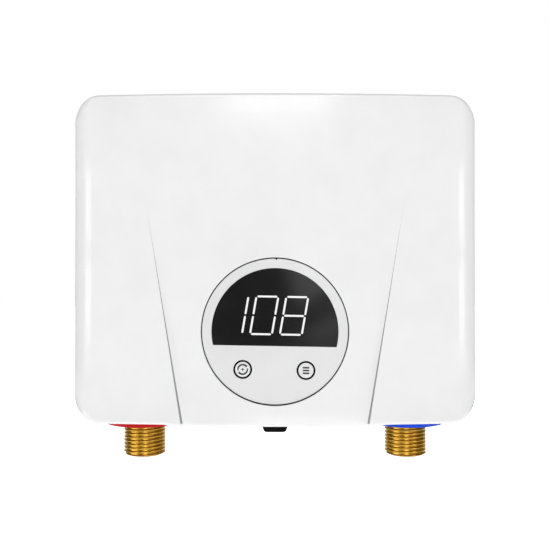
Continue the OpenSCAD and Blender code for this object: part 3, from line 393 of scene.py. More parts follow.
# %% [markdown]
# ## Finishes
# The record gives every piece a material slot with a class and a colour. One recipe for each class turns a
# slot into a finish, so that pieces of the same stuff look alike. No real surface is one even colour, so
# each recipe lets colour, roughness and height wander a little, at the scale of the real grain. A picture
# could do that, but noise in the object's own coordinates has no seams. These helpers are what the recipes
# are made of.


# %% Finish helpers
def grain(here, size, detail=3.0):
    """Noise from 0 to 1, whose lumps are about this many millimetres wide."""
    inputs = {"Vector": here, "Scale": 1 / (size * MM), "Detail": detail}
    return here.nodes.add("ShaderNodeTexNoise", "Fac", inputs=inputs)


def between(noise, low, high):
    """Stretches the middle of a noise over a range."""
    return noise.remap(0.3, 0.7, low, high)


def tinted(colour, factor):
    """A colour times a factor that wanders."""
    return factor.nodes.add("ShaderNodeVectorMath", inputs={0: colour, "Scale": factor}, operation="SCALE")


def relief(height, depth):
    """A bump this many millimetres deep."""
    inputs = {"Height": height, "Strength": 1.0, "Distance": depth * MM}
    return height.nodes.add("ShaderNodeBump", inputs=inputs)


def finished(name, recipe, *values):
    """A material with the looks that a recipe gives."""
    material, nodes, shader, here = new_finish(name)
    nodes.put(shader, recipe(here, *values))
    return material


slots = {row["slot"]: row for row in frame["record"]["materials"]}
roughness_of = {"gloss": 0.13, "satin": 0.42, "matte": 0.6, "brushed": 0.3}
finishes = {}
print("slots to finish:", len(slots))

# %% [markdown]
# ## Plastic, acrylic and rubber
# The case, the dial and most parts inside are injection-moulded, which leaves a faint ripple on an even
# colour. The window is polished acrylic, dyed so dark that light hardly comes back out of it. Rubber is
# dusty and grainy and hardly shines. The two marker rings are plastic as well, with a duller shine.


# %% Plastic, acrylic and rubber
def moulded_plastic(here, colour, roughness, shine=0.5):
    ripple = grain(here, 2.5, 2.0)
    return {
        "Base Color": tinted(colour, between(grain(here, 14), 0.985, 1.015)),
        "Roughness": between(ripple, 0.88 * roughness, 1.12 * roughness),
        "Normal": relief(ripple, 0.004),
        "Specular IOR Level": shine,
    }


def smoked_acrylic(here, colour):
    wander = grain(here, 11)
    return {
        "Base Color": tinted(colour, between(wander, 0.5, 0.7)),
        "Roughness": between(wander, 0.06, 0.09),
        "IOR": 1.49,
    }


def rubber(here, colour):
    pores = grain(here, 0.35)
    return {
        "Base Color": tinted(colour, between(grain(here, 3), 0.15, 0.3)),
        "Roughness": between(pores, 0.5, 0.68),
        "Normal": relief(pores, 0.03),
        "Specular IOR Level": 0.05,
    }


marker_shine = {"hot_red": 0.12, "cold_blue": 0.12}
for name, slot in slots.items():
    colour, roughness = slot["base_color"], roughness_of[slot["finish"]]
    if slot["class"] == "rubber":
        finishes[name] = finished(name, rubber, colour)
    elif name == "smoked_window":
        finishes[name] = finished(name, smoked_acrylic, colour)
    elif slot["class"].endswith("plastic") and name != "board_green":
        finishes[name] = finished(name, moulded_plastic, colour, roughness, marker_shine.get(name, 0.5))
print("plastic, acrylic and rubber:", sorted(finishes))

# %% [markdown]
# ## Metals
# The brass was turned on a lathe, so fine rings run around each pipe, and it is dull in patches. Its colour
# is painted darker and more orange towards the grooves of the thread, as painted shade for the light the
# grooves keep out. Steel and aluminium are rolled or drawn, with fine lines along X. Noise that is squeezed
# along some axes draws its grain out along the others, which gives both kinds of line.


# %% Metals
def stretched(here, *scale):
    """Coordinates squeezed along some axes."""
    return here.nodes.add("ShaderNodeVectorMath", inputs={0: here, 1: scale}, operation="MULTIPLY")


def turned_brass(here, colour):
    patches = grain(here, 5)
    rings = grain(stretched(here, 0.05, 0.05, 1.0), 0.12, 2.0)
    groove = here.nodes.add("ShaderNodeAttribute", "Fac", attribute_name="groove")
    # Painted shade: the crest keeps a bright colour and the grooves a darker, more orange one, standing in
    # for the shade deep in the thread.
    bright = Vector(colour) * Vector((1.12, 1.27, 1.5))
    groove_shade = Vector(colour) * Vector((0.78, 0.70, 0.32))
    mix = {0: groove, 1: groove_shade - bright, 2: bright}
    tint = here.nodes.add("ShaderNodeVectorMath", inputs=mix, operation="MULTIPLY_ADD")
    return {
        "Base Color": tinted(tint, between(patches, 0.95, 1.05)),
        "Roughness": rings * 0.10 + between(patches, 0.12, 0.22),
        "Normal": relief(rings, 0.004),
        "Metallic": 1.0,
    }


def brushed_metal(here, colour, roughness):
    lines = grain(stretched(here, 0.04, 1.0, 1.0), 0.2)
    return {
        "Base Color": tinted(colour, between(grain(here, 6), 0.9, 1.08)),
        "Roughness": between(lines, 0.8 * roughness, 1.25 * roughness),
        "Normal": relief(lines, 0.005),
        "Metallic": 1.0,
    }


for name, slot in slots.items():
    colour, roughness = slot["base_color"], roughness_of[slot["finish"]]
    if slot["class"] == "brass":
        finishes[name] = finished(name, turned_brass, colour)
    elif slot["class"] in ("brushed_steel", "aluminium"):
        finishes[name] = finished(name, brushed_metal, colour, roughness)
print("finishes with the metals:", len(finishes))

# %% [markdown]
# ## Circuit board
# A board is green lacquer over copper tracks, which show as a lighter net of lines. Real tracks would be a
# drawing of their own. Hidden in the case, a brick pattern with thin raised joints tells the same story.


# %% Circuit board
def circuit_board(here, colour):
    pattern = {
        "Vector": stretched(here, 1, 0, 1),
        "Scale": 1 / (3 * MM),
        "Color1": (*colour, 1),
        "Color2": (*[0.8 * c for c in colour], 1),
        "Mortar": (*[2.2 * c for c in colour], 1),
        "Mortar Size": 0.05,
    }
    net, track = here.nodes.add("ShaderNodeTexBrick", "Color", "Fac", inputs=pattern)
    lacquer = between(grain(here, 4), 0.28, 0.42)
    return {"Base Color": net, "Roughness": lacquer, "Normal": relief(track, 0.02)}


finishes["board_green"] = finished("board_green", circuit_board, slots["board_green"]["base_color"])
for row in frame["record"]["subparts"]:
    mesh = frame["nodes"][row["node"]].data
    mesh.materials.clear()
    mesh.materials.append(finishes[row["material_slot"]])

# %% [markdown]
# ## Outlines and meshes
# Three small jobs come up in every piece: the points of a circle, whether a point lies inside an outline,
# and a clean mesh at the end. Operators in edit mode could clean a mesh too, but they depend on what is
# selected. A bmesh holds the same points and faces in Python, and needs no mode and no selection.


# %% Outlines and meshes
def circle(steps):
    """Even points round a circle with a radius of 1."""
    angles = [2 * math.pi * i / steps for i in range(steps)]
    return [(math.cos(a), math.sin(a)) for a in angles]


def within(point, rim):
    """Whether a flat point lies inside a closed outline, by counting crossings."""
    inside = False
    for a, b in zip(rim, rim[1:] + rim[:1]):
        if (a.y > point.y) != (b.y > point.y):
            if point.x < a.x + (b.x - a.x) * (point.y - a.y) / (b.y - a.y):
                inside = not inside
    return inside


def write_mesh(build, mesh, gap, crisp):
    """Welds points closer than the gap, turns the faces outwards, and smooths all but crisp edges."""
    bmesh.ops.remove_doubles(build, verts=build.verts, dist=gap * MM)
    bmesh.ops.recalc_face_normals(build, faces=build.faces)
    build.to_mesh(mesh)
    build.free()
    mesh.shade_smooth()
    mesh.set_sharp_from_angle(angle=math.radians(crisp))


print("a circle of four points:", [(round(c), round(s)) for c, s in circle(4)])

# %% [markdown]
# ## A form
# Most pieces here are made of closed loops of points that are bridged with faces, which is how a lathe or a
# lofted shell works. A form collects them in millimetres, with depth counted out from the wall, and then
# becomes a mesh in metres. Flat faces with holes are filled by a constrained Delaunay triangulation.


# %% Form
class Form:
    """Points and faces of one piece. A point is X, depth and Z, and may say how far it follows the front."""

    def __init__(self):
        self.points = []
        self.faces = []

    def loop(self, points):
        first = len(self.points)
        self.points.extend(points)
        return list(range(first, len(self.points)))

    def facing(self, x, z, profile, steps=64):
        """Circles that face the front, each with a radius and a depth. They may follow the front."""
        loops = []
        for r, depth, *follows in profile:
            loops.append(self.loop([(x + r * c, depth, z + r * s, *follows) for c, s in circle(steps)]))
        return loops

    def upright(self, x, depth, profile, steps=48):
        """Level circles about an upright axis, each with a radius and a height."""
        return [self.loop([(x + r * c, depth + r * s, z) for c, s in circle(steps)]) for r, z in profile]

    def tube(self, loops, finish=0):
        """Bridges each loop with the next."""
        for one, other in zip(loops, loops[1:]):
            for i in range(len(one)):
                j = (i + 1) % len(one)
                self.faces.append(((one[i], one[j], other[j], other[i]), finish))

    def closed(self, loops):
        """A tube with a flat face at each end."""
        self.tube(loops)
        self.faces += [(tuple(loops[0]), 0), (tuple(loops[-1]), 0)]

    def seen_flat(self, loop):
        return [Vector((self.points[i][0], self.points[i][2])) for i in loop]

    def fill(self, outer, holes=(), inside=(), lines=(), depth=None, follows=0.0, finish=0, painted_shade_test=None):
        """Fills a loop that faces the front, less its holes. Extra points and lines shape the triangles, and
        where the given test holds, a face gets the third finish, which paints shade."""
        edge = [i for loop in (outer, *holes) for i in loop]
        flat = self.seen_flat(edge)
        joins = []
        start = 0
        for count in map(len, (outer, *holes)):
            joins += [(start + i, start + (i + 1) % count) for i in range(count)]
            start += count
        flat += [Vector(p) for p in inside]
        for line in lines:
            first = len(flat)
            flat += [Vector(p) for p in line]
            joins += [(first + i, first + i + 1) for i in range(len(line) - 1)]
        corners, _, faces, sources, _, _ = delaunay_2d_cdt(flat, joins, [], 0, 1e-5)
        numbers = []
        for corner, source in zip(corners, sources):
            known = [s for s in source if s < len(edge)]
            if known:
                numbers.append(edge[known[0]])
            else:
                numbers += self.loop([(corner.x, depth, corner.y, follows)])
        rim = self.seen_flat(outer)
        hole_rims = [self.seen_flat(hole) for hole in holes]
        for face in faces:
            centre = sum((corners[i] for i in face), Vector((0, 0))) / len(face)
            if within(centre, rim) and not any(within(centre, hole) for hole in hole_rims):
                painted_shade_face = painted_shade_test is not None and painted_shade_test(centre.x, centre.y)
                self.faces.append((tuple(numbers[i] for i in face), 2 if painted_shade_face else finish))

    def piece(self, name, *materials):
        """The finished object: welded, turned to face outwards, and smooth except at crisp edges."""
        mesh = bpy.data.meshes.new(name)
        for material in materials:
            mesh.materials.append(material)
        build = bmesh.new()
        follow = build.verts.layers.float.new("follows_front")
        made = []
        for x, depth, z, *follows in self.points:
            made.append(build.verts.new((x * MM, -depth * MM, z * MM)))
            made[-1][follow] = follows[0] if follows else 0.0
        for corners, finish in self.faces:
            build.faces.new([made[i] for i in corners]).material_index = finish
        write_mesh(build, mesh, gap=0.002, crisp=32)
        return add_object(name, mesh)


print("a form can:", [name for name in vars(Form) if not name.startswith("_")])

# %% [markdown]
# ## Placing a piece
# A modifier's result is only a preview until it is turned into a plain mesh. Each finished piece then rides
# on an empty for its body, so that it moves with that body, and the solids that it remakes are hidden. Sizes
# are read from those solids wherever they give them.


# %% Placing a piece
def box_mm(node):
    """A node's lowest and highest corner, in millimetres."""
    low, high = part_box(node)
    return low / MM, high / MM


def settle(piece):
    """Turns what the modifiers make into the piece's own plain mesh, and removes them."""
    graph = bpy.context.evaluated_depsgraph_get()
    mesh = bpy.data.meshes.new_from_object(piece.evaluated_get(graph))
    piece.modifiers.clear()
    piece.data = mesh
    mesh.name = piece.name


def welded(piece):
    """Joins the open rims of a piece where they meet, and turns it to face outwards."""
    build = bmesh.new()
    build.from_mesh(piece.data)
    write_mesh(build, piece.data, gap=0.005, crisp=40)
    return piece


def place(piece, body, slot, *nodes):
    """Lets a piece ride on its body, and hides the solids that it stands for. The slot is not used."""
    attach(piece, body)
    if nodes:
        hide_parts(*nodes)
    lowest = min(v.co.z for v in piece.data.vertices) / MM
    print(f"{piece.name}: {len(piece.data.polygons)} faces, lowest point {lowest:.1f} mm")


print("front cover from", *[tuple(round(v, 1) for v in corner) for corner in box_mm("front_cover")])

# %% [markdown]
# ## The case's outline
# Both shells share one outline: a rectangle with round corners. It is kept as a list of stations, each a
# point and the way out from it, so that a loop at any inset is one line of code. The creases of the front
# start at the lower edge, so the outline has stations there too.

# %% Stations around the case
_, cover_high = box_mm("front_cover")
half_w, half_h = cover_high.x, cover_high.z
split_d = -cover_high.y
case_d = 70.0
corner_r = 13.0
corner_steps = 18
wall = 2.5
crease_bottom_x = 43.5
band_w = 5.0
step_w = 0.9
band_lines = (0.0, step_w, 1.7, 2.6, 3.7, band_w)
flat_x, flat_z = half_w - corner_r, half_h - corner_r
station_step = 3.0


def spread(start, end, step=station_step):
    """Even places from the start up to, and without, the end."""
    count = max(1, round(abs(end - start) / step))
    return [start + (end - start) * i / count for i in range(count)]


def round_corner(x, z, start):
    angles = [math.radians(start + 90 * i / corner_steps) for i in range(corner_steps)]
    ways = [(math.cos(a), math.sin(a)) for a in angles]
    return [(x + corner_r * c, z + corner_r * s, c, s) for c, s in ways]


band_x = [crease_bottom_x - shift for shift in band_lines]
lower_breaks = [-flat_x, *[-x for x in band_x], *reversed(band_x), flat_x]
lower_x = [x for a, b in zip(lower_breaks, lower_breaks[1:]) for x in spread(a, b)]
stations = [(half_w, z, 1, 0) for z in spread(-flat_z, flat_z)]
stations += round_corner(flat_x, flat_z, 0)
stations += [(x, half_h, 0, 1) for x in spread(flat_x, -flat_x)]
stations += round_corner(-flat_x, flat_z, 90)
stations += [(-half_w, z, -1, 0) for z in spread(flat_z, -flat_z)]
stations += round_corner(-flat_x, -flat_z, 180)
stations += [(x, -half_h, 0, -1) for x in lower_x]
stations += round_corner(flat_x, -flat_z, 270)


def case_loop(inset, depth):
    return [(x - nx * inset, depth, z - nz * inset) for x, z, nx, nz in stations]


print("stations:", len(stations), "case", 2 * half_w, "x", 2 * half_h, "mm")

# %% [markdown]
# ## Front cover: rounded edges in plan
# The cover is one moulding: side walls, rounded edges and a crowned front with a round opening. It could be
# sculpted or subdivided, but its front follows a plain rule, so it is laid out flat here and lifted later.
# The left and right edges are rounder than the top and bottom, and towards the corners the front's lower
# edge rises a little.

# %% Rounded edges in plan
edge_r, edge_drop = 10.2, 7.0
ridge_r = 1.5
least_r = 0.4
edge_steps = 9
lower_bow = 0.95
bow_start, bow_end = 40.0, 54.0


def bow(x):
    """How far the front's lower edge rises towards the corners."""
    along = min(max((abs(x) - bow_start) / (bow_end - bow_start), 0), 1)
    return lower_bow * along * along * (3 - 2 * along)


def round_edge(form, inset):
    """The loops of the rounded edge, from the side wall to the front, a wall's thickness in or not."""
    loops = []
    for i in range(edge_steps + 1):
        angle = math.radians(90 * i / edge_steps)
        points = []
        for x, z, nx, nz in stations:
            across = max(ridge_r + (edge_r - ridge_r) * nx * nx - inset, least_r)
            down = max(ridge_r + (edge_drop - ridge_r) * nx * nx - inset, least_r)
            e = inset + across * (1 - math.cos(angle)) + bow(x) * max(-nz, 0)
            points.append((x - nx * e, -inset - down * (1 - math.sin(angle)), z - nz * e, 1.0))
        loops.append(form.loop(points))
    return loops


print("lower edge rises by", lower_bow, "mm towards the corners")

# %% [markdown]
# ## Front cover: creases in plan
# Two slanting creases run up the front from its lower edge. Beside each lies a narrow step that runs out to
# nothing at the top, and then a shallow hollow. A crease that only a bump map draws would vanish in a side
# view, so the flat layout gets real lines there: the crease, the foot of the step, and a few lines along
# the hollow.

# %% Creases in plan
crease_top_x, crease_top_z = 60.0, 28.0
crease_step = 2.5
step_run_out = 1.4


def lower_z(x):
    """The height where the front meets its rounded lower edge."""
    return ridge_r - half_h + bow(x)


crease_low_z = lower_z(crease_bottom_x)


def climb(z):
    """How far up its crease a height lies, from 0 at the rounded lower edge to 1 at the crease's end."""
    return max(0, z - crease_low_z) / (crease_top_z - crease_low_z)


def crease_x(z):
    return crease_bottom_x + climb(z) * (crease_top_x - crease_bottom_x)


def step_at(z):
    """The width of the step beside the crease."""
    return step_w * max(0, 1 - climb(z)) ** step_run_out


def on_step(x, z):
    """Whether a flat point lies on the step beside a crease, which a grey finish paints as shade."""
    return z < crease_top_z and 0 < crease_x(z) - abs(x) < step_at(z)


def crease_lines():
    """The crease on each side, the foot of its step, and the lines along the hollow beside it."""
    heights = spread(crease_low_z, crease_top_z, crease_step)[1:] + [crease_top_z]
    lines = []
    for side in (-1, 1):
        for shift in band_lines:
            start = crease_bottom_x - shift
            line = [(side * start, lower_z(start))]
            for z in heights:
                line.append((side * (crease_x(z) - (step_at(z) if shift == step_w else shift)), z))
            lines.append(line)
    return lines


print("creases rise from", round(crease_low_z, 2), "to", crease_top_z, "mm")

# %% [markdown]
# ## Front cover: flat layout
# Now the loops are joined: the rim at the back, the rounded edges outside and inside, and the opening with
# the seat and the tube that carry the dial. The front and its inner face are filled between them, with a
# grid of points and the lines of the creases, so that there is something to bend when the front is lifted.
# The wall of the opening and the seat take the dark rubber finish, and the steps a grey one: painted shade
# for the gap around the dial and the shadow line along each crease.

# %% Front cover, flat
rim_bevel = 0.4
dial_low, dial_high = box_mm("panel_disc")
drum_low, drum_high = box_mm("panel_drum")
dial_x, dial_z = 0.0, drum_low.z / 2 + drum_high.z / 2
opening_r = 34.2
opening_bevel = 0.25
dial_steps = 192
seat_d = 66.1
drum_bore_r, drum_tube_r, drum_tube_d = 31.1, 32.9, 53.3
seat_outer_r = opening_r + wall
face_step = 3.0
clear_side, clear_end, clear_crease = 2.0, 3.0, 1.5
# Painted shade: this grey darkens the narrow step beside each crease, in place of the shadow line there.
crease_shade_colour = (0.30, 0.30, 0.30)


def front_points(hole_r):
    """A grid of points that keeps clear of the edge, the opening and the creases."""
    points = []
    for x in spread(-half_w, half_w, face_step):
        for z in spread(-half_h, half_h, face_step):
            beyond = math.hypot(max(abs(x) - flat_x + edge_r, 0), max(abs(z) - flat_z, 0))
            off_corner = beyond < corner_r - clear_end
            off_side = abs(x) < half_w - edge_r - wall - clear_side
            off_end = abs(z) < half_h - ridge_r - wall - clear_end
            off_hole = math.hypot(x - dial_x, z - dial_z) > hole_r + face_step / 2
            beside = crease_x(z) - abs(x)
            off_crease = z > crease_top_z + clear_side or not -clear_crease < beside < band_w + clear_crease
            if off_corner and off_side and off_end and off_hole and off_crease:
                points.append((x, z))
    return points


cover_form = Form()
cover_rim = [(rim_bevel, split_d), (0, split_d + rim_bevel)]
rim_loops = [cover_form.loop(case_loop(*row)) for row in cover_rim]
outer_edge = round_edge(cover_form, 0)
inner_edge = round_edge(cover_form, wall)
inner_back = cover_form.loop(case_loop(wall, split_d))
cover_form.tube([inner_back, *rim_loops, *outer_edge])
cover_form.tube([inner_back, *inner_edge])
mouth = [(opening_r + opening_bevel, 0.0, 1.0), (opening_r, -opening_bevel, 1.0)]
seat = [
    (opening_r, seat_d),
    (drum_bore_r, seat_d),
    (drum_bore_r, drum_tube_d),
    (drum_tube_r, drum_tube_d),
    (drum_tube_r, seat_d - wall),
    (seat_outer_r, seat_d - wall),
    (seat_outer_r, -wall, 1.0),
]
opening = cover_form.facing(dial_x, dial_z, mouth + seat, dial_steps)
cover_form.tube(opening[:2])
# The opening's wall and the dial's seat take the dark rubber finish: painted shade in the gap around the
# dial.
cover_form.tube(opening[1:], finish=1)
lines = crease_lines()
# Faces on the steps take the third finish, the grey that paints the creases' shadow line.
cover_form.fill(outer_edge[-1], [opening[0]], front_points(opening_r), lines, 0.0, 1.0, painted_shade_test=on_step)
inner_lines = [line[1:] for line in lines]
cover_form.fill(inner_edge[-1], [opening[-1]], front_points(seat_outer_r), inner_lines, -wall, 1.0)
step_grey = finished("step_grey", moulded_plastic, crease_shade_colour, 0.5)
front_cover = cover_form.piece("front_shell", finishes["case_white"], finishes["gland_rubber"], step_grey)
print("flat cover:", len(front_cover.data.vertices), "points")

# %% [markdown]
# ## A hand for Geometry Nodes
# A Geometry Nodes tree is a recipe with named inputs, which can be run on any piece. These helpers start a
# tree, end it and run it. The inputs are set by their identifiers, because two sockets may share a name.
# Every tree ends by making copies real and setting a finish, and its result is kept as a plain mesh.


# %% Geometry Nodes helpers
def node_group(name, *labels):
    """A new Geometry Nodes tree. Its named inputs are numbers, apart from a shape and a finish."""
    tree = bpy.data.node_groups.new(name, "GeometryNodeTree")
    kinds = {"Geometry": "Geometry", "Shape": "Object", "Finish": "Material"}
    for label in ("Geometry", *labels):
        kind = "NodeSocket" + kinds.get(label, "Float")
        tree.interface.new_socket(label, in_out="INPUT", socket_type=kind)
    tree.interface.new_socket("Geometry", in_out="OUTPUT", socket_type="NodeSocketGeometry")
    nodes = Nodes(tree)
    return nodes, nodes.add("NodeGroupInput", "Geometry", *labels)


def end_tree(nodes, made, finish, faces=True):
    """Makes copies real, gives the faces their finish, and hands the geometry out."""
    real = nodes.add("GeometryNodeRealizeInstances", inputs={"Geometry": made})
    inputs = {"Geometry": real, "Selection": faces, "Material": finish}
    painted = nodes.add("GeometryNodeSetMaterial", inputs=inputs)
    nodes.put(nodes.tree.nodes.new("NodeGroupOutput").inputs, {"Geometry": painted})
    return nodes.tree


def run_tree(piece, tree, **values):
    """Adds a tree to a piece, sets its inputs by their identifiers, and keeps what it makes."""
    modifier = piece.modifiers.new(tree.name, "NODES")
    modifier.node_group = tree
    sockets = {s.name: s.identifier for s in tree.interface.items_tree if s.in_out == "INPUT"}
    for label, value in values.items():
        modifier[sockets[label.replace("_", " ").title()]] = value
    settle(piece)


def stored(nodes, name):
    """A number that each point carries."""
    return nodes.add("GeometryNodeInputNamedAttribute", inputs={"Name": name}, data_type="FLOAT")


def position(nodes, *axes):
    return nodes.add("ShaderNodeSeparateXYZ", *axes, inputs={0: nodes.add("GeometryNodeInputPosition")})


print("trees before the first:", len(bpy.data.node_groups))

# %% [markdown]
# ## Front cover: crown and wings
# The front is part of a wide cylinder, and below the creases two wings lean out of it, more towards the
# bottom. That is a formula of X and Z, so a Geometry Nodes tree lifts the flat layout: its named inputs are
# the sizes a designer would change. Beside each crease the surface dips in a short curve and meets the wing
# in a sharp line.


# %% Crown and wings
def front_tree():
    creases = ("Bottom X", "Top X", "Bottom Z", "Top Z", "Band", "Step", "Step Share")
    nodes, given = node_group("crown_and_wings", "Depth", "Crown Radius", "Wing Rise", *creases, "Finish")
    flat, depth, crown_radius, rise, bottom_x, top_x, bottom_z, top_z, band, step, share, finish = given
    x, z = position(nodes, "X", "Z")
    crown = depth + (crown_radius**2 - x**2).apply("SQRT") - crown_radius
    climbed = (z.apply("MAXIMUM", bottom_z) - bottom_z) / (top_z - bottom_z)
    beside = bottom_x + climbed * (top_x - bottom_x) - abs(x)
    fall = (1 - climbed).apply("MAXIMUM", 0.0)
    step_here = (step * fall**step_run_out).apply("MAXIMUM", 1e-6)
    drop = (1 - beside / step_here).clamp()
    hollow = (1 - beside / band).clamp() ** 2
    wing = fall * rise * (hollow + (drop - hollow) * share)
    out = (crown + wing) * stored(nodes, "follows_front") * -1.0
    offset = nodes.add("ShaderNodeCombineXYZ", inputs={"Y": out})
    lifted = nodes.add("GeometryNodeSetPosition", inputs={"Geometry": flat, "Offset": offset})
    white_faces = nodes.add("GeometryNodeInputMaterialIndex").apply("LESS_THAN", 0.5)
    return end_tree(nodes, lifted, finish, white_faces)


crown_r = 800.0
wing_rise = 1.5
step_share = 0.45
run_tree(
    front_cover,
    front_tree(),
    depth=case_d * MM,
    crown_radius=crown_r * MM,
    wing_rise=wing_rise * MM,
    bottom_x=crease_bottom_x * MM,
    top_x=crease_top_x * MM,
    bottom_z=crease_low_z * MM,
    top_z=crease_top_z * MM,
    band=band_w * MM,
    step=step_w * MM,
    step_share=step_share,
    finish=finishes["case_white"],
)
welded(front_cover)
print("cover reaches", round(-min(v.co.y for v in front_cover.data.vertices) / MM, 2), "mm out")

# %% [markdown]
# ## Front cover: bosses and openings
# The four cover screws run through bosses inside the upper and lower walls, and the pipe collars and the
# gland need holes. On the real cover the mould's side cores leave them. Here rods and blocks are added or
# taken away with a Boolean, which is the plain way where two solids only have to meet.


# %% Rods, blocks and Booleans
def rod(form, r, z0, z1, x, depth, steps=48):
    """A closed upright rod."""
    form.closed(form.upright(x, depth, [(r, z0), (r, z1)], steps))


def block(form, x0, x1, d0, d1, z0, z1):
    """A closed box."""
    form.closed([form.loop([(x0, d, z0), (x1, d, z0), (x1, d, z1), (x0, d, z1)]) for d in (d0, d1)])


def combine(piece, form, operation):
    """Takes a form out of a piece, or adds it."""
    tool = form.piece(piece.name + "_tool")
    boolean = piece.modifiers.new("combine", "BOOLEAN")
    boolean.operation = operation
    boolean.solver = "EXACT"
    boolean.object = tool
    settle(piece)
    bpy.data.objects.remove(tool)


screw_corners = [(side, end) for side in (-1, 1) for end in (-1, 1)]
print("cover screws to make room for:", len(screw_corners))

# %% [markdown]
# ## Front cover: holes
# The holes lie where the solids of the collars, the gland and the screws say, with a little room around
# them. Each screw gets a boss, a round seat for its head and a bore for its shank. The lower openings are
# kept as a function, because the back shell has the other half of the same holes.

# %% Cut the cover
fit = 0.1
collar_low, collar_high = box_mm("inlet_collar")
pipe_x, pipe_d = (collar_low.x + collar_high.x) / 2, -(collar_low.y + collar_high.y) / 2
collar_hole_r = 13.08
gland_low, gland_high = box_mm("cable_gland")
gland_w, gland_depth = gland_high.x - gland_low.x, gland_high.y - gland_low.y
gland_groove = 2.0
notch_w, notch_d = gland_w / 2 - gland_groove + fit, gland_depth / 2 - gland_groove + fit
screw_low, screw_high = box_mm("cover_screws")
head_r, head_t, head_gap = 2.8, 1.5, 0.3
screw_x, screw_d = screw_high.x - head_r, -(screw_low.y + screw_high.y) / 2
shank_hole_r = 1.5
screw_boss_r, screw_boss_z = 4.6, 71.3
screw_hole_z = half_h - 5 * wall


def lower_openings():
    """The collars' holes and the gland's notch, through the lower wall of both shells."""
    form = Form()
    low, high = -half_h - wall, -half_h + 2 * wall
    for side in (-1, 1):
        rod(form, collar_hole_r, low, high, side * pipe_x, pipe_d, 96)
    block(form, -notch_w, notch_w, split_d - notch_d, split_d + notch_d, low, high)
    return form


bosses, cuts, bores = Form(), lower_openings(), Form()
for side, end in screw_corners:
    x, beyond = side * screw_x, end * (half_h + wall)
    rod(bosses, screw_boss_r, end * screw_boss_z, end * (half_h - wall / 2), x, screw_d)
    rod(cuts, head_r + head_gap, end * (half_h - head_t), beyond, x, screw_d)
    rod(bores, shank_hole_r, end * screw_hole_z, beyond, x, screw_d, 32)
combine(front_cover, bosses, "UNION")
combine(front_cover, cuts, "DIFFERENCE")
combine(front_cover, bores, "DIFFERENCE")
print("cut cover:", len(front_cover.data.polygons), "faces")

# %% [markdown]
# ## Front cover: crisp lines
# Smooth shading blends the light across every edge. Hard corners are found by their angle, but the creases
# are shallower than that, so their edges are found by where they lie and marked sharp. The wing then ends
# in a clean line, while the hollow beside it stays soft.

# %% Sharpen the creases
hard_angle = 35
crease_near = 0.01


def sharpen(piece):
    """Marks hard corners by their angle, and the creases by where they lie."""
    mesh = piece.data
    mesh.shade_smooth()
    mesh.set_sharp_from_angle(angle=math.radians(hard_angle))
    sharp = mesh.attributes["sharp_edge"].data
    on_crease = []
    for x, _, z in (v.co / MM for v in mesh.vertices):
        beside = crease_x(z) - abs(x)
        on_crease.append(z < crease_top_z and min(abs(beside), abs(beside - step_at(z))) < crease_near)
    creased = [e.index for e in mesh.edges if on_crease[e.vertices[0]] and on_crease[e.vertices[1]]]
    for index in creased:
        sharp[index].value = True
    return len(creased)


print("edges along the creases:", sharpen(front_cover))
place(front_cover, "case", "case_white", "front_cover")

# %% [markdown]
# ## Back shell
# The back shell is the tray that hangs on the wall. A groove runs round it where it meets the cover, and a
# small step at the back leaves a shadow line against the wall. Behind, a shallow field is sunk into it, so
# that only its border and the four screw pads touch the wall. Its loops use the same stations as the
# cover's.

# %% Back shell
foot_step = 1.5
foot_bevel = 0.4
seam_w, seam_in = 1.0, 0.8
hole_x, hole_z, hole_r, hole_bevel = 40.0, 58.0, 2.6, 0.5
hole_steps = 40
pad_r, pad_d = 6.0, 5.0
field_in, field_d, field_bevel = 9.0, 0.8, 0.5
wall_pad_r = 8.5
back_form = Form()
tray_rows = [
    (foot_step + foot_bevel, 0.0),
    (foot_step, foot_bevel),
    (foot_step, foot_step),
    (foot_bevel, foot_step),
    (0.0, foot_step + foot_bevel),
    (0.0, split_d - seam_w - rim_bevel),
    (rim_bevel, split_d - seam_w),
    (seam_in, split_d - seam_w),
    (seam_in, split_d),
    (wall, split_d),
    (wall, wall),
]
field_rows = [(field_in, 0.0), (field_in + field_bevel, field_d)]
hole_profile = [
    (wall_pad_r + field_bevel, field_d),
    (wall_pad_r, 0.0),
    (hole_r + hole_bevel, 0.0),
    (hole_r, hole_bevel),
    (hole_r, pad_d),
    (pad_r, pad_d),
    (pad_r, wall),
]
tray, field = [[back_form.loop(case_loop(*row)) for row in rows] for rows in (tray_rows, field_rows)]
hole_places = [(x, z) for x in (-hole_x, hole_x) for z in (-hole_z, hole_z)]
wall_holes = [back_form.facing(x, z, hole_profile, hole_steps) for x, z in hole_places]
for loops in (tray, field, *wall_holes):
    back_form.tube(loops)
back_form.fill(tray[0], [field[0]], depth=0.0)
back_form.fill(field[1], [rings[0] for rings in wall_holes], depth=field_d)
back_form.fill(tray[-1], [rings[-1] for rings in wall_holes], depth=wall)
back_shell = back_form.piece("wall_tray", finishes["case_white"])
combine(back_shell, lower_openings(), "DIFFERENCE")
print("tray:", len(back_shell.data.polygons), "faces")

# %% [markdown]
# ## Posts and cradles in the tray
# Inside, the tray carries everything: posts for the cover screws, cradles for the two barrels, bosses for
# the board and the earth screw, and two blocks for the terminals and the cable clamp. They are plain boxes
# and rods, added in one Boolean, and a second one takes the round seats of the barrels, the screws and the
# cable out.

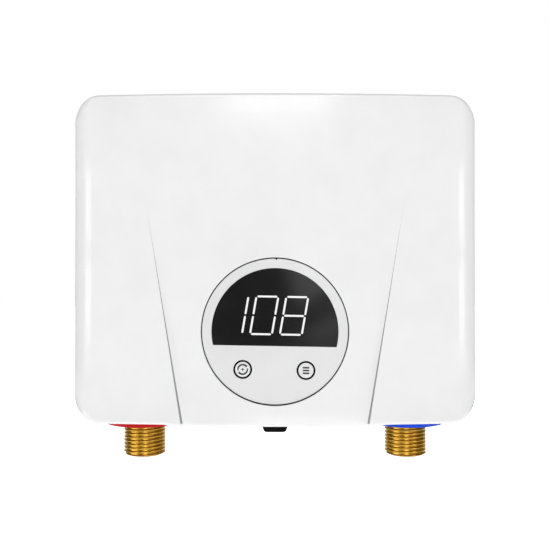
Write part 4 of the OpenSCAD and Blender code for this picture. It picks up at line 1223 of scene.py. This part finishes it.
# %% Posts and cradles
root_d = wall / 2
post_half, post_d, post_z = 4.5, 40.6, 66.7
pilot_r, pilot_z = 1.2, (64.0, 72.0)
cradle_half_w, cradle_half_z, cradle_d, cradle_z = 17.7, 5.0, 21.0, (-28.0, 15.5)
barrel_r, barrel_past = 18.1, 10.0
boss_r, strap_boss_x = 3.6, 42.9
board_boss_x, board_boss_z, board_boss_d = 30.0, (-8.0, 56.9), 12.0
cable_block_w = 16.0
terminal_d, terminal_z = 8.0, (-52.0, -40.0)
clamp_d, clamp_z = 29.85, (-68.4, -61.4)
cable_r, cable_z = 4.5, (-70.0, -60.0)
earth_x, earth_z, earth_r, earth_d = -30.0, -46.0, 4.5, 10.0


def stud(form, x, z, r, depth):
    """A closed rod that stands on the tray's floor."""
    form.closed(form.facing(x, z, [(r, root_d), (r, depth)], 32))


posts, seats = Form(), Form()
for side, end in screw_corners:
    x, z = side * screw_x, end * post_z
    block(posts, x - post_half, x + post_half, root_d, post_d, z - post_half, z + post_half)
    rod(seats, pilot_r, end * pilot_z[0], end * pilot_z[1], x, screw_d, 24)
for side in (-1, 1):
    x = side * pipe_x
    for z in cradle_z:
        low, high = z - cradle_half_z, z + cradle_half_z
        block(posts, x - cradle_half_w, x + cradle_half_w, root_d, cradle_d, low, high)
        stud(posts, side * strap_boss_x, z, boss_r, cradle_d)
    rod(seats, barrel_r, cradle_z[0] - barrel_past, cradle_z[1] + barrel_past, x, pipe_d, 64)
    for z in board_boss_z:
        stud(posts, side * board_boss_x, z, boss_r, board_boss_d)
block(posts, -cable_block_w, cable_block_w, root_d, terminal_d, *terminal_z)
block(posts, -cable_block_w, cable_block_w, root_d, clamp_d, *clamp_z)
rod(seats, cable_r, *cable_z, 0.0, split_d, 32)
stud(posts, earth_x, earth_z, earth_r, earth_d)
combine(back_shell, posts, "UNION")
combine(back_shell, seats, "DIFFERENCE")
sharpen(back_shell)
place(back_shell, "case", "case_white", "back_shell")

# %% [markdown]
# ## Outlines on the dial
# The dial stands a degree out of level, so everything on it is drawn level and then turned about its axis.
# The disc is a circle with a small pointer notch, and the window is a circle that a level line cuts off.
# Both are drawn as arcs with enough points to look round close up.

# %% Dial outlines
dial_tilt = math.radians(1.0)
disc_r = round((dial_high.x - dial_low.x) / 2, 1)
disc_steps, window_steps = 190, 120
face_d, disc_back_d = -dial_low.y, -dial_high.y
window_back_d = -box_mm("display_window")[1].y
window_r, window_drop = 29.2, 6.6
notch = 0.6


def turned(points):
    """Turns points about the dial's axis, clockwise as one faces it."""
    c, s = math.cos(dial_tilt), math.sin(dial_tilt)
    return [(dial_x + x * c + z * s, depth, dial_z - x * s + z * c) for x, depth, z in points]


def disc_outline(r, depth):
    """A circle with a V-shaped notch at its top."""
    tip = math.asin(notch / r)
    start, sweep = math.pi / 2 + tip, 2 * math.pi - 2 * tip
    angles = [start + sweep * i / disc_steps for i in range(disc_steps + 1)]
    return turned([(r * math.cos(a), depth, r * math.sin(a)) for a in angles] + [(0, depth, r - notch)])


def window_outline(wider, depth):
    """A circle cut off by a level line below, wider all round than the window by so much."""
    r, drop = window_r + wider, window_drop + wider
    start = math.asin(-drop / r)
    angles = [start + (math.pi - 2 * start) * i / window_steps for i in range(window_steps + 1)]
    return turned([(r * math.cos(a), depth, r * math.sin(a)) for a in angles])


def middle_of(node):
    low, high = box_mm(node)
    return (low.x + high.x) / 2, (low.z + high.z) / 2


keys = [middle_of("mode_button"), middle_of("menu_button")]
print("disc radius", disc_r, "mm, keys at", [(round(x, 2), round(z, 2)) for x, z in keys])

# %% [markdown]
# ## Control dial
# The dial is a flat disc that turns in the cover. It has a tiny pointer notch at its top, a D-shaped pocket
# for the window and two round holes for the keys. All of them are loops in one flat face, so the face is
# filled around them, and each loop goes on down as a wall. The walls take the dark rubber finish, as painted
# shade in every gap.

# %% Dial disc
key_hole_r = 4.36
soft_edge = 0.18
half_soft = soft_edge / 2
disc_form = Form()
disc_rows = [(disc_r - soft_edge, face_d), (disc_r, face_d - soft_edge), (disc_r, disc_back_d)]
pocket_rows = [(fit + half_soft, face_d), (fit, face_d - half_soft), (fit, window_back_d)]
hole_rows = [(key_hole_r + half_soft, face_d), (key_hole_r, face_d - half_soft), (key_hole_r, disc_back_d)]
rim = [disc_form.loop(disc_outline(*row)) for row in disc_rows]
pocket = [disc_form.loop(window_outline(*row)) for row in pocket_rows]
key_holes = [disc_form.facing(*centre, hole_rows) for centre in keys]
# Below each soft edge the walls, and the pocket's floor, take the dark rubber finish: painted shade in the
# gaps.
for loops in (rim, pocket, *key_holes):
    disc_form.tube(loops[:2])
    disc_form.tube(loops[1:], finish=1)
disc_form.fill(rim[0], [pocket[0], *[hole[0] for hole in key_holes]], depth=face_d)
disc_form.fill(pocket[-1], depth=window_back_d, finish=1)
disc_form.fill(rim[-1], [hole[-1] for hole in key_holes], depth=disc_back_d)
disc = disc_form.piece("dial_disc", finishes["panel_white"], finishes["gland_rubber"])
place(disc, "panel", "panel_white", "panel_disc")

# %% [markdown]
# ## Window
# The window is a slab of smoked acrylic, so dark that only what is lit shows through it. Real glass with
# light passing through would cost time and show nothing more, so it is one polished dark slab with a fine
# bevel.

# %% Window
window_bevel = 0.12
window_form = Form()
slab_rows = [(-window_bevel, face_d), (0.0, face_d - window_bevel), (0.0, window_back_d)]
slab = [window_form.loop(window_outline(*row)) for row in slab_rows]
window_form.tube(slab)
window_form.fill(slab[0], depth=face_d)
window_form.fill(slab[-1], depth=window_back_d)
window = window_form.piece("smoked_pane", finishes["smoked_window"])
place(window, "panel", "smoked_window", "display_window")

# %% [markdown]
# ## Copies on points
# Bars, arrows and screws come back several times. Each could be copied by hand, but then a change has to be
# made in every copy. A Geometry Nodes tree sets one shape on a list of points instead, turned by an angle
# that each point carries, and makes the copies real.


# %% Copies tree
def copies_tree():
    nodes, (places, shape, finish) = node_group("copies_on_points", "Shape", "Finish")
    turn = nodes.add("ShaderNodeCombineXYZ", inputs={"Y": stored(nodes, "angle")})
    original = nodes.add("GeometryNodeObjectInfo", "Geometry", inputs={"Object": shape})
    points = nodes.add("GeometryNodeMeshToPoints", inputs={"Mesh": places})
    inputs = {"Points": points, "Instance": original, "Rotation": turn}
    return end_tree(nodes, nodes.add("GeometryNodeInstanceOnPoints", inputs=inputs), finish)


copies = copies_tree()


def copy_onto(name, shape, places, material):
    """A piece made of copies of a shape, at places of X, depth, Z and angle."""
    mesh = bpy.data.meshes.new(name)
    mesh.from_pydata([(x * MM, -depth * MM, z * MM) for x, depth, z, _ in places], [], [])
    angles = [math.radians(angle) for *_, angle in places]
    mesh.attributes.new("angle", "FLOAT", "POINT").data.foreach_set("value", angles)
    piece = add_object(name, mesh)
    run_tree(piece, copies, shape=shape, finish=material)
    bpy.data.objects.remove(shape)
    return piece


def joined(name, *pieces):
    """One piece made of several."""
    build = bmesh.new()
    for piece in pieces:
        build.from_mesh(piece.data)
    mesh = pieces[0].data.copy()
    mesh.name = name
    build.to_mesh(mesh)
    build.free()
    for piece in pieces:
        bpy.data.objects.remove(piece)
    return add_object(name, mesh)


print("copies tree:", len(copies.nodes), "nodes")

# %% [markdown]
# ## Lit figures
# A display has seven bars to a figure, and shows a number by lighting some of them. Text would be quicker,
# but its letters have no gaps between the bars. Two bar shapes, a level one and a leaning one, are copied
# onto the places of the lit bars, half sunk in the window's face. Their light comes through a white
# diffuser, which is a touch softer here and there.

# %% Lit figures
figure_half_h, figure_half_w = 8.7, 5.05
figure_pitch = 13.78
first_figure_x, figure_z = -18.9, 7.4
lean = math.atan(0.154)
bar_w, bar_t, bar_sunk = 0.87, 0.06, 0.03
level_len, upright_len = 9.15, 7.95
end_steps = 12
figures = ("bc", "abcdef", "abcdefg")
level_bars = {"a": (0, 1), "g": (0, 0), "d": (0, -1)}
upright_bars = {"f": (-1, 0.5), "b": (1, 0.5), "e": (-1, -0.5), "c": (1, -0.5)}


def white_light(here):
    softer = between(grain(here, 2), 0.9, 0.98)
    return {
        "Base Color": tinted((0.03, 0.03, 0.03), softer),
        "Roughness": 0.4,
        "Emission Color": tinted((1, 1, 1), softer),
        "Emission Strength": 0.95,
    }


def bar(name, length, width, thickness, tilt=0.0):
    """A flat bar with round ends, along X or tilted."""
    form = Form()
    c, s = math.cos(tilt), math.sin(tilt)
    reach, r = length / 2 - width / 2, width / 2
    outline = []
    for end in (1, -1):
        for i in range(end_steps + 1):
            a = math.radians(-90 + 180 * i / end_steps)
            x, z = end * (reach + r * math.cos(a)), end * r * math.sin(a)
            outline.append((x * c - z * s, x * s + z * c))
    form.closed([form.loop([(x, depth, z) for x, z in outline]) for depth in (0.0, thickness)])
    return form.piece(name)


def bar_places(segments):
    """Where the lit bars of one kind lie."""
    places = []
    for number, lit in enumerate(figures):
        for letter in lit:
            if letter in segments:
                across, up = segments[letter]
                z = figure_half_h * up
                x = first_figure_x + number * figure_pitch + across * figure_half_w + z * math.tan(lean)
                spot = turned([(x, face_d - bar_sunk, figure_z + z)])[0]
                places.append((*spot, math.degrees(dial_tilt)))
    return places


lit = finished("lit_figures", white_light)
level_bar = bar("level_bar", level_len, bar_w, bar_t)
upright_bar = bar("upright_bar", upright_len, bar_w, bar_t, math.radians(90) - lean)
level = copy_onto("level_bars", level_bar, bar_places(level_bars), lit)
upright = copy_onto("upright_bars", upright_bar, bar_places(upright_bars), lit)
place(joined("lit_figures", level, upright), "panel", "smoked_window")

# %% [markdown]
# ## Keys
# Each key is a round cap in its ring-shaped gap, with a flange behind the disc that keeps it from falling
# out. A turned profile gives it its soft edge. The side takes the dark rubber finish, as painted shade in
# the gap around it.

# %% Keys
key_r = 3.55
key_flat_r, key_soft, key_fall = 2.6, 0.15, 0.02
key_brow, key_brow_fall, key_side_fall = 0.05, 0.08, 0.3
key_low, key_high = box_mm("mode_button")
key_flange_r, key_flange_t = (key_high.x - key_low.x) / 2, 1.0
key_back_d = -key_high.y
key_flange_d = key_back_d + key_flange_t


def key_cap(name, centre):
    form = Form()
    brow = (key_r - key_brow, face_d - key_brow_fall)
    top = form.facing(*centre, [(key_flat_r, face_d), (key_r - key_soft, face_d - key_fall), brow])
    skirt = [brow, (key_r, face_d - key_side_fall), (key_r, key_flange_d)]
    skirt += [(key_flange_r, key_flange_d), (key_flange_r, key_back_d)]
    side = form.facing(*centre, skirt)
    form.tube(top)
    # The side takes the dark rubber finish: painted shade in the gap around the key.
    form.tube(side, finish=1)
    form.fill(top[0], depth=face_d)
    form.fill(side[-1], depth=key_back_d, finish=1)
    return form.piece(name, finishes["panel_white"], finishes["gland_rubber"])


mode_key = key_cap("mode_cap", keys[0])
menu_key = key_cap("menu_cap", keys[1])
place(mode_key, "mode_key", "panel_white", "mode_button")
place(menu_key, "menu_key", "panel_white", "menu_button")

# %% [markdown]
# ## Signs on the keys
# The signs are a thin screen print: two curved arrows around a plus for the mode key, and three bars for
# the menu key. An image would need a texture, and its edge would blur close up. As thin bands they stay
# sharp, ride on their keys, and come out of the copies tree like the figures.

# %% Signs
print_t, print_sunk = 0.03, 0.01
sign_d = face_d - print_sunk
arrow_r, arrow_w, arrow_start, arrow_end = 2.2, 0.74, 192, 34
tail_share, tail_part = 0.7, 0.25
head_from, head_wider = 0.78, 0.3
arrow_steps = 24
plus_len, plus_w = 1.3, 0.4
menu_len, menu_w, menu_pitch = 3.1, 0.74, 1.27


def print_ink(here):
    """Dark grey ink, a little uneven."""
    return {
        "Base Color": tinted((0.014, 0.014, 0.015), between(grain(here, 0.8), 0.8, 1.3)),
        "Roughness": between(grain(here, 0.5), 0.35, 0.5),
    }


def arrow_band(name):
    """A flat curved band that starts thin and widens into a blunt arrow head at its end."""
    form = Form()
    rows = []
    for i in range(arrow_steps + 1):
        t = i / arrow_steps
        a = math.radians(arrow_start + (arrow_end - arrow_start) * t)
        tail = tail_share + (1 - tail_share) * min(1, t / tail_part)
        head = 1 + head_wider * max(0, (t - head_from) / (1 - head_from))
        half = arrow_w / 2 * tail * head
        outer, inner = arrow_r + half, arrow_r - half
        corners = [(outer, 0.0), (inner, 0.0), (inner, print_t), (outer, print_t)]
        rows.append(form.loop([(r * math.cos(a), depth, r * math.sin(a)) for r, depth in corners]))
    form.closed(rows)
    return form.piece(name)


ink = finished("print_ink", print_ink)
mode_x, mode_z = keys[0]
menu_x, menu_z = keys[1]
opposite = [(mode_x, sign_d, mode_z, angle) for angle in (0, 180)]
crossed = [(mode_x, sign_d, mode_z, angle) for angle in (0, 90)]
stacked = [(menu_x, sign_d, menu_z + menu_pitch * i, math.degrees(dial_tilt)) for i in (-1, 0, 1)]
arrows = copy_onto("arrows", arrow_band("arrow"), opposite, ink)
plus = copy_onto("plus", bar("plus_bar", plus_len, plus_w, print_t), crossed, ink)
mode_sign = joined("mode_sign", arrows, plus)
menu_sign = copy_onto("menu_sign", bar("menu_bar", menu_len, menu_w, print_t), stacked, ink)
place(mode_sign, "mode_key", "part_black")
place(menu_sign, "menu_key", "part_black")

# %% [markdown]
# ## Pipe thread
# Each pipe end has a half-inch pipe thread, which is a helix, so a lathe profile can't give it. A Geometry
# Nodes tree rolls a flat grid up instead: one way along the grid becomes the turn about the axis, the other
# climbs by one pitch in each turn, and a wave across it makes the ridge. The ridge runs out at both ends,
# and each point keeps how deep in a groove it lies, which the brass finish reads to paint shade into the
# grooves.

# %% Thread tree
thread_sides = 96
rows_in_pitch = 14
ridge_foot, ridge_top = 0.25, 0.9
weld_gap = 0.01


def thread_tree():
    """Rolls up a grid with X from 0 to 1 and Y counted in pitches."""
    labels = ("Root", "Crest", "Pitch", "Bottom", "Top", "Run Out", "Axis X", "Axis Y", "Finish")
    nodes, given = node_group("rolled_thread", *labels)
    grid, root, crest, pitch, bottom, top, run_out, axis_x, axis_y, finish = given
    across, along = position(nodes, "X", "Y")
    climbed = bottom + (across + along) * pitch
    height = climbed.apply("MAXIMUM", bottom).apply("MINIMUM", top)
    ends = ((height - bottom) / run_out).apply("MINIMUM", (top - height) / run_out).clamp()
    wave = (along * (2 * math.pi)).apply("COSINE") * -0.5 + 0.5
    ridge = wave.fade(ridge_foot, ridge_top) * ends
    radius = root + ridge * (crest - root)
    angle = across * (2 * math.pi)
    x = axis_x + radius * angle.apply("COSINE")
    y = axis_y + radius * angle.apply("SINE")
    rolled = nodes.add("ShaderNodeCombineXYZ", inputs={"X": x, "Y": y, "Z": height})
    moved = nodes.add("GeometryNodeSetPosition", inputs={"Geometry": grid, "Position": rolled})
    # How deep in a groove a point lies, which the brass finish turns into painted shade.
    groove = {"Geometry": moved, "Name": "groove", "Value": 1 - ridge}
    marked = nodes.add("GeometryNodeStoreNamedAttribute", inputs=groove, data_type="FLOAT", domain="POINT")
    merged = nodes.add("GeometryNodeMergeByDistance", inputs={"Geometry": marked, "Distance": weld_gap * MM})
    return end_tree(nodes, merged, finish)


rolled_thread = thread_tree()


def thread_grid(name, turns):
    """A flat grid: once round in X, and in Y one turn more than the thread has, to cover both ends."""
    rows, wide = (turns + 1) * rows_in_pitch, thread_sides + 1
    points = [(i / thread_sides, j / rows_in_pitch - 1, 0) for j in range(rows + 1) for i in range(wide)]
    corners = [j * wide + i for j in range(rows) for i in range(thread_sides)]
    mesh = bpy.data.meshes.new(name)
    mesh.from_pydata(points, [], [(c, c + 1, c + wide + 1, c + wide) for c in corners])
    return add_object(name, mesh)


print("thread tree:", len(rolled_thread.nodes), "nodes")

# %% [markdown]
# ## Pipe ends
# The rest of each pipe end is turned from brass bar: a bore, a bevelled lower end, a plain shank, a
# six-sided shoulder inside the case and a spigot above it. It is a lathe profile, whose rings have as many
# points as the thread, so that body and thread can be welded into one closed piece.

# %% Pipe ends
fitting_low, fitting_high = box_mm("inlet_fitting")
pipe_end, spigot_top = fitting_low.z, fitting_high.z
collar_bottom, collar_top = collar_low.z, collar_high.z
bore_r, spigot_r = 6.5, 8.4
thread_r, thread_pitch, thread_deep = 10.48, 1.814, 1.16
run_out_share = 0.35
end_lead, end_bevel = 0.3, 0.5
root_r = thread_r - thread_deep
thread_bottom = pipe_end + end_lead
thread_turns = int((collar_bottom - thread_bottom) / thread_pitch)
thread_top = thread_bottom + thread_turns * thread_pitch
shank_r = (thread_r + root_r) / 2
hex_r, hex_bevel, shoulder_t = (fitting_high.x - fitting_low.x) / 2, 0.5, 5.0


def six_sided(form, side, r, z):
    """A loop about a pipe's axis with six flats."""
    sixth, half = math.radians(60), math.radians(30)
    points = []
    for i in range(thread_sides):
        a = 2 * math.pi * i / thread_sides
        reach = r * math.cos(half) / math.cos((a + half) % sixth - half)
        points.append((side * pipe_x + reach * math.cos(a), pipe_d + reach * math.sin(a), z))
    return form.loop(points)


def pipe_end_piece(name, side):
    form = Form()
    axis = (side * pipe_x, pipe_d)
    mouth = [(bore_r, thread_bottom), (bore_r, pipe_end + end_bevel), (bore_r + end_bevel, pipe_end)]
    mouth += [(root_r - end_bevel, pipe_end), (root_r, thread_bottom)]
    shank = [(root_r, thread_top), (root_r, collar_bottom)]
    shank += [(shank_r, collar_bottom + shank_r - root_r), (shank_r, collar_top)]
    shoulder_rows = [(hex_bevel, 0), (0, hex_bevel), (0, shoulder_t - hex_bevel), (hex_bevel, shoulder_t)]
    shoulder = [six_sided(form, side, hex_r - inset, collar_top + z) for inset, z in shoulder_rows]
    spigot = [(spigot_r, collar_top + shoulder_t), (spigot_r, spigot_top), (bore_r, spigot_top)]
    spigot += [(bore_r, thread_bottom)]
    form.tube(form.upright(*axis, mouth, thread_sides))
    shank, spigot = [form.upright(*axis, profile, thread_sides) for profile in (shank, spigot)]
    form.tube([*shank, *shoulder, *spigot])
    body = form.piece(name + "_body", finishes["brass"])
    thread = thread_grid(name + "_thread", thread_turns)
    run_tree(
        thread,
        rolled_thread,
        root=root_r * MM,
        crest=thread_r * MM,
        pitch=thread_pitch * MM,
        bottom=thread_bottom * MM,
        top=thread_top * MM,
        run_out=run_out_share * thread_pitch * MM,
        axis_x=side * pipe_x * MM,
        axis_y=-pipe_d * MM,
        finish=finishes["brass"],
    )
    return welded(joined(name, body, thread))


hot_end = pipe_end_piece("hot_pipe_end", -1)
cold_end = pipe_end_piece("cold_pipe_end", 1)
place(hot_end, "case", "brass", "outlet_fitting")
place(cold_end, "case", "brass", "inlet_fitting")

# %% [markdown]
# ## Marker collars
# A red and a blue ring under the case tell hot from cold. Each is a turned profile with soft edges: a broad
# ring below, a neck through the wall and a lip inside.

# %% Marker collars
collar_r = (collar_high.x - collar_low.x) / 2
collar_gap = 0.3
collar_bore_r = thread_r + collar_gap
collar_neck_r = collar_hole_r - fit
lip_r, lip_t = hex_r, 1.5
collar_edge = 0.5


def marker_collar(name, side, material):
    form = Form()
    low, top, lip_bottom = collar_bottom, -half_h, collar_top - lip_t
    profile = [
        (collar_bore_r, low + collar_edge),
        (collar_bore_r + collar_edge, low),
        (collar_r - 0.6 * collar_edge, low),
        (collar_r - 0.2 * collar_edge, low + 0.2 * collar_edge),
        (collar_r, low + 0.6 * collar_edge),
        (collar_r, top - collar_edge),
        (collar_r - collar_edge, top),
        (collar_neck_r, top),
        (collar_neck_r, lip_bottom),
        (lip_r, lip_bottom),
        (lip_r, collar_top),
        (collar_bore_r, collar_top),
        (collar_bore_r, low + collar_edge),
    ]
    form.tube(form.upright(side * pipe_x, pipe_d, profile, thread_sides))
    return form.piece(name, material)


hot_collar = marker_collar("hot_collar", -1, finishes["hot_red"])
cold_collar = marker_collar("cold_collar", 1, finishes["cold_blue"])
place(hot_collar, "case", "hot_red", "outlet_collar")
place(cold_collar, "case", "cold_blue", "inlet_collar")

# %% [markdown]
# ## Cable gland
# The gland is a rubber plug that tapers below the case, with a round way through it for the supply cable.
# Loops of a rectangle with round corners are lofted from the lower end to the lip inside the case, and back
# down the bore. Each row says how much narrower than the lip it is, how round its corners are, and its
# height.

# %% Cable gland
gland_taper = 3.2
taper, groove = 2 * gland_taper, 2 * gland_groove
cable_bevel = 0.5
gland_corner_steps = 8
low, lip_low = gland_low.z, -half_h + wall + fit
gland_rows = [
    (taper + 0.8, 1.6, low),
    (taper + 0.1, 2.0, low + 0.25),
    (taper - 0.35, 2.0, low + 0.7),
    (0.25, 1.2, -half_h - 0.6),
    (0.0, 1.0, -half_h - 0.25),
    (0.4, 1.0, -half_h),
    (groove, 0.8, -half_h),
    (groove, 0.8, lip_low),
    (0.0, 1.0, lip_low),
    (0.0, 1.0, gland_high.z),
]
cable_rows = [(cable_r, gland_high.z), (cable_r, low + cable_bevel), (cable_r + cable_bevel, low)]


def rounded_rectangle(narrower, r, z):
    points = []
    for right, front, start in ((1, 1, 0), (-1, 1, 90), (-1, -1, 180), (1, -1, 270)):
        for i in range(gland_corner_steps + 1):
            a = math.radians(start + 90 * i / gland_corner_steps)
            x = right * ((gland_w - narrower) / 2 - r) + r * math.cos(a)
            depth = front * ((gland_depth - narrower) / 2 - r) + r * math.sin(a)
            points.append((x, split_d + depth, z))
    return points


def bore_like(points, r, z):
    """A circle with a point towards each point of a loop."""
    angles = [math.atan2(depth - split_d, x) for x, depth, _ in points]
    return [(r * math.cos(a), split_d + r * math.sin(a), z) for a in angles]


gland_form = Form()
around = [gland_form.loop(rounded_rectangle(*row)) for row in gland_rows]
lower_end = rounded_rectangle(*gland_rows[0])
bore = [gland_form.loop(bore_like(lower_end, *row)) for row in cable_rows]
gland_form.tube([*around, *bore, around[0]])
gland = gland_form.piece("rubber_gland", finishes["gland_rubber"])
place(gland, "case", "gland_rubber", "cable_gland")

# %% [markdown]
# ## Cover screws
# Four small screws hold the cover, two from above and two from below. One screw is modelled with a domed
# head and a cross-shaped recess, and the copies tree sets it in its four places, turned over for the lower
# pair.

# %% Cover screws
screw_len, screw_r, point_len, point_r = 11.0, 1.4, 1.2, 0.5
cross_half, cross_arm, cross_deep, cross_taper = 1.5, 0.42, 0.8, 0.7
screw_steps = 36
dome = [(2.3, 0.0), (2.6, -0.12), (head_r, -0.45), (head_r, -head_t)]
point_z = -head_t - screw_len
below_head = [(screw_r, -head_t), (screw_r, point_z + point_len), (point_r, point_z)]


def cross_outline():
    """The twelve corners of the recess, as X and depth."""
    quarter = [(cross_half, -cross_arm), (cross_half, cross_arm), (cross_arm, cross_arm)]
    corners = []
    for c, s in ((1, 0), (0, 1), (-1, 0), (0, -1)):
        corners += [(x * c - depth * s, x * s + depth * c) for x, depth in quarter]
    return corners


def screw(name):
    """A screw that stands upright, with the top of its head at the origin."""
    form = Form()
    rings = form.upright(0.0, 0.0, dome + below_head, screw_steps)
    mouth = form.loop([(x, depth, 0.0) for x, depth in cross_outline()])
    bottom = form.loop([(cross_taper * x, cross_taper * depth, -cross_deep) for x, depth in cross_outline()])
    form.tube(rings)
    form.tube([mouth, bottom])
    form.faces += [(tuple(rings[-1]), 0), (tuple(bottom), 0)]
    rim = rings[0] + rings[0][:1]
    share = screw_steps // len(mouth)
    for i, corner in enumerate(mouth):
        beside = rim[share * i : share * (i + 1) + 1]
        form.faces.append(((corner, *beside, mouth[(i + 1) % len(mouth)]), 0))
    return form.piece(name, finishes["screw_steel"])


screw_places = [(side * screw_x, screw_d, end * half_h, 90 - 90 * end) for side, end in screw_corners]
cover_screws = copy_onto("case_screws", screw("one_screw"), screw_places, finishes["screw_steel"])
place(cover_screws, "case", "screw_steel", "cover_screws")

# %% [markdown]
# ## Sizes and finish
# The looks may not change the heater's size.
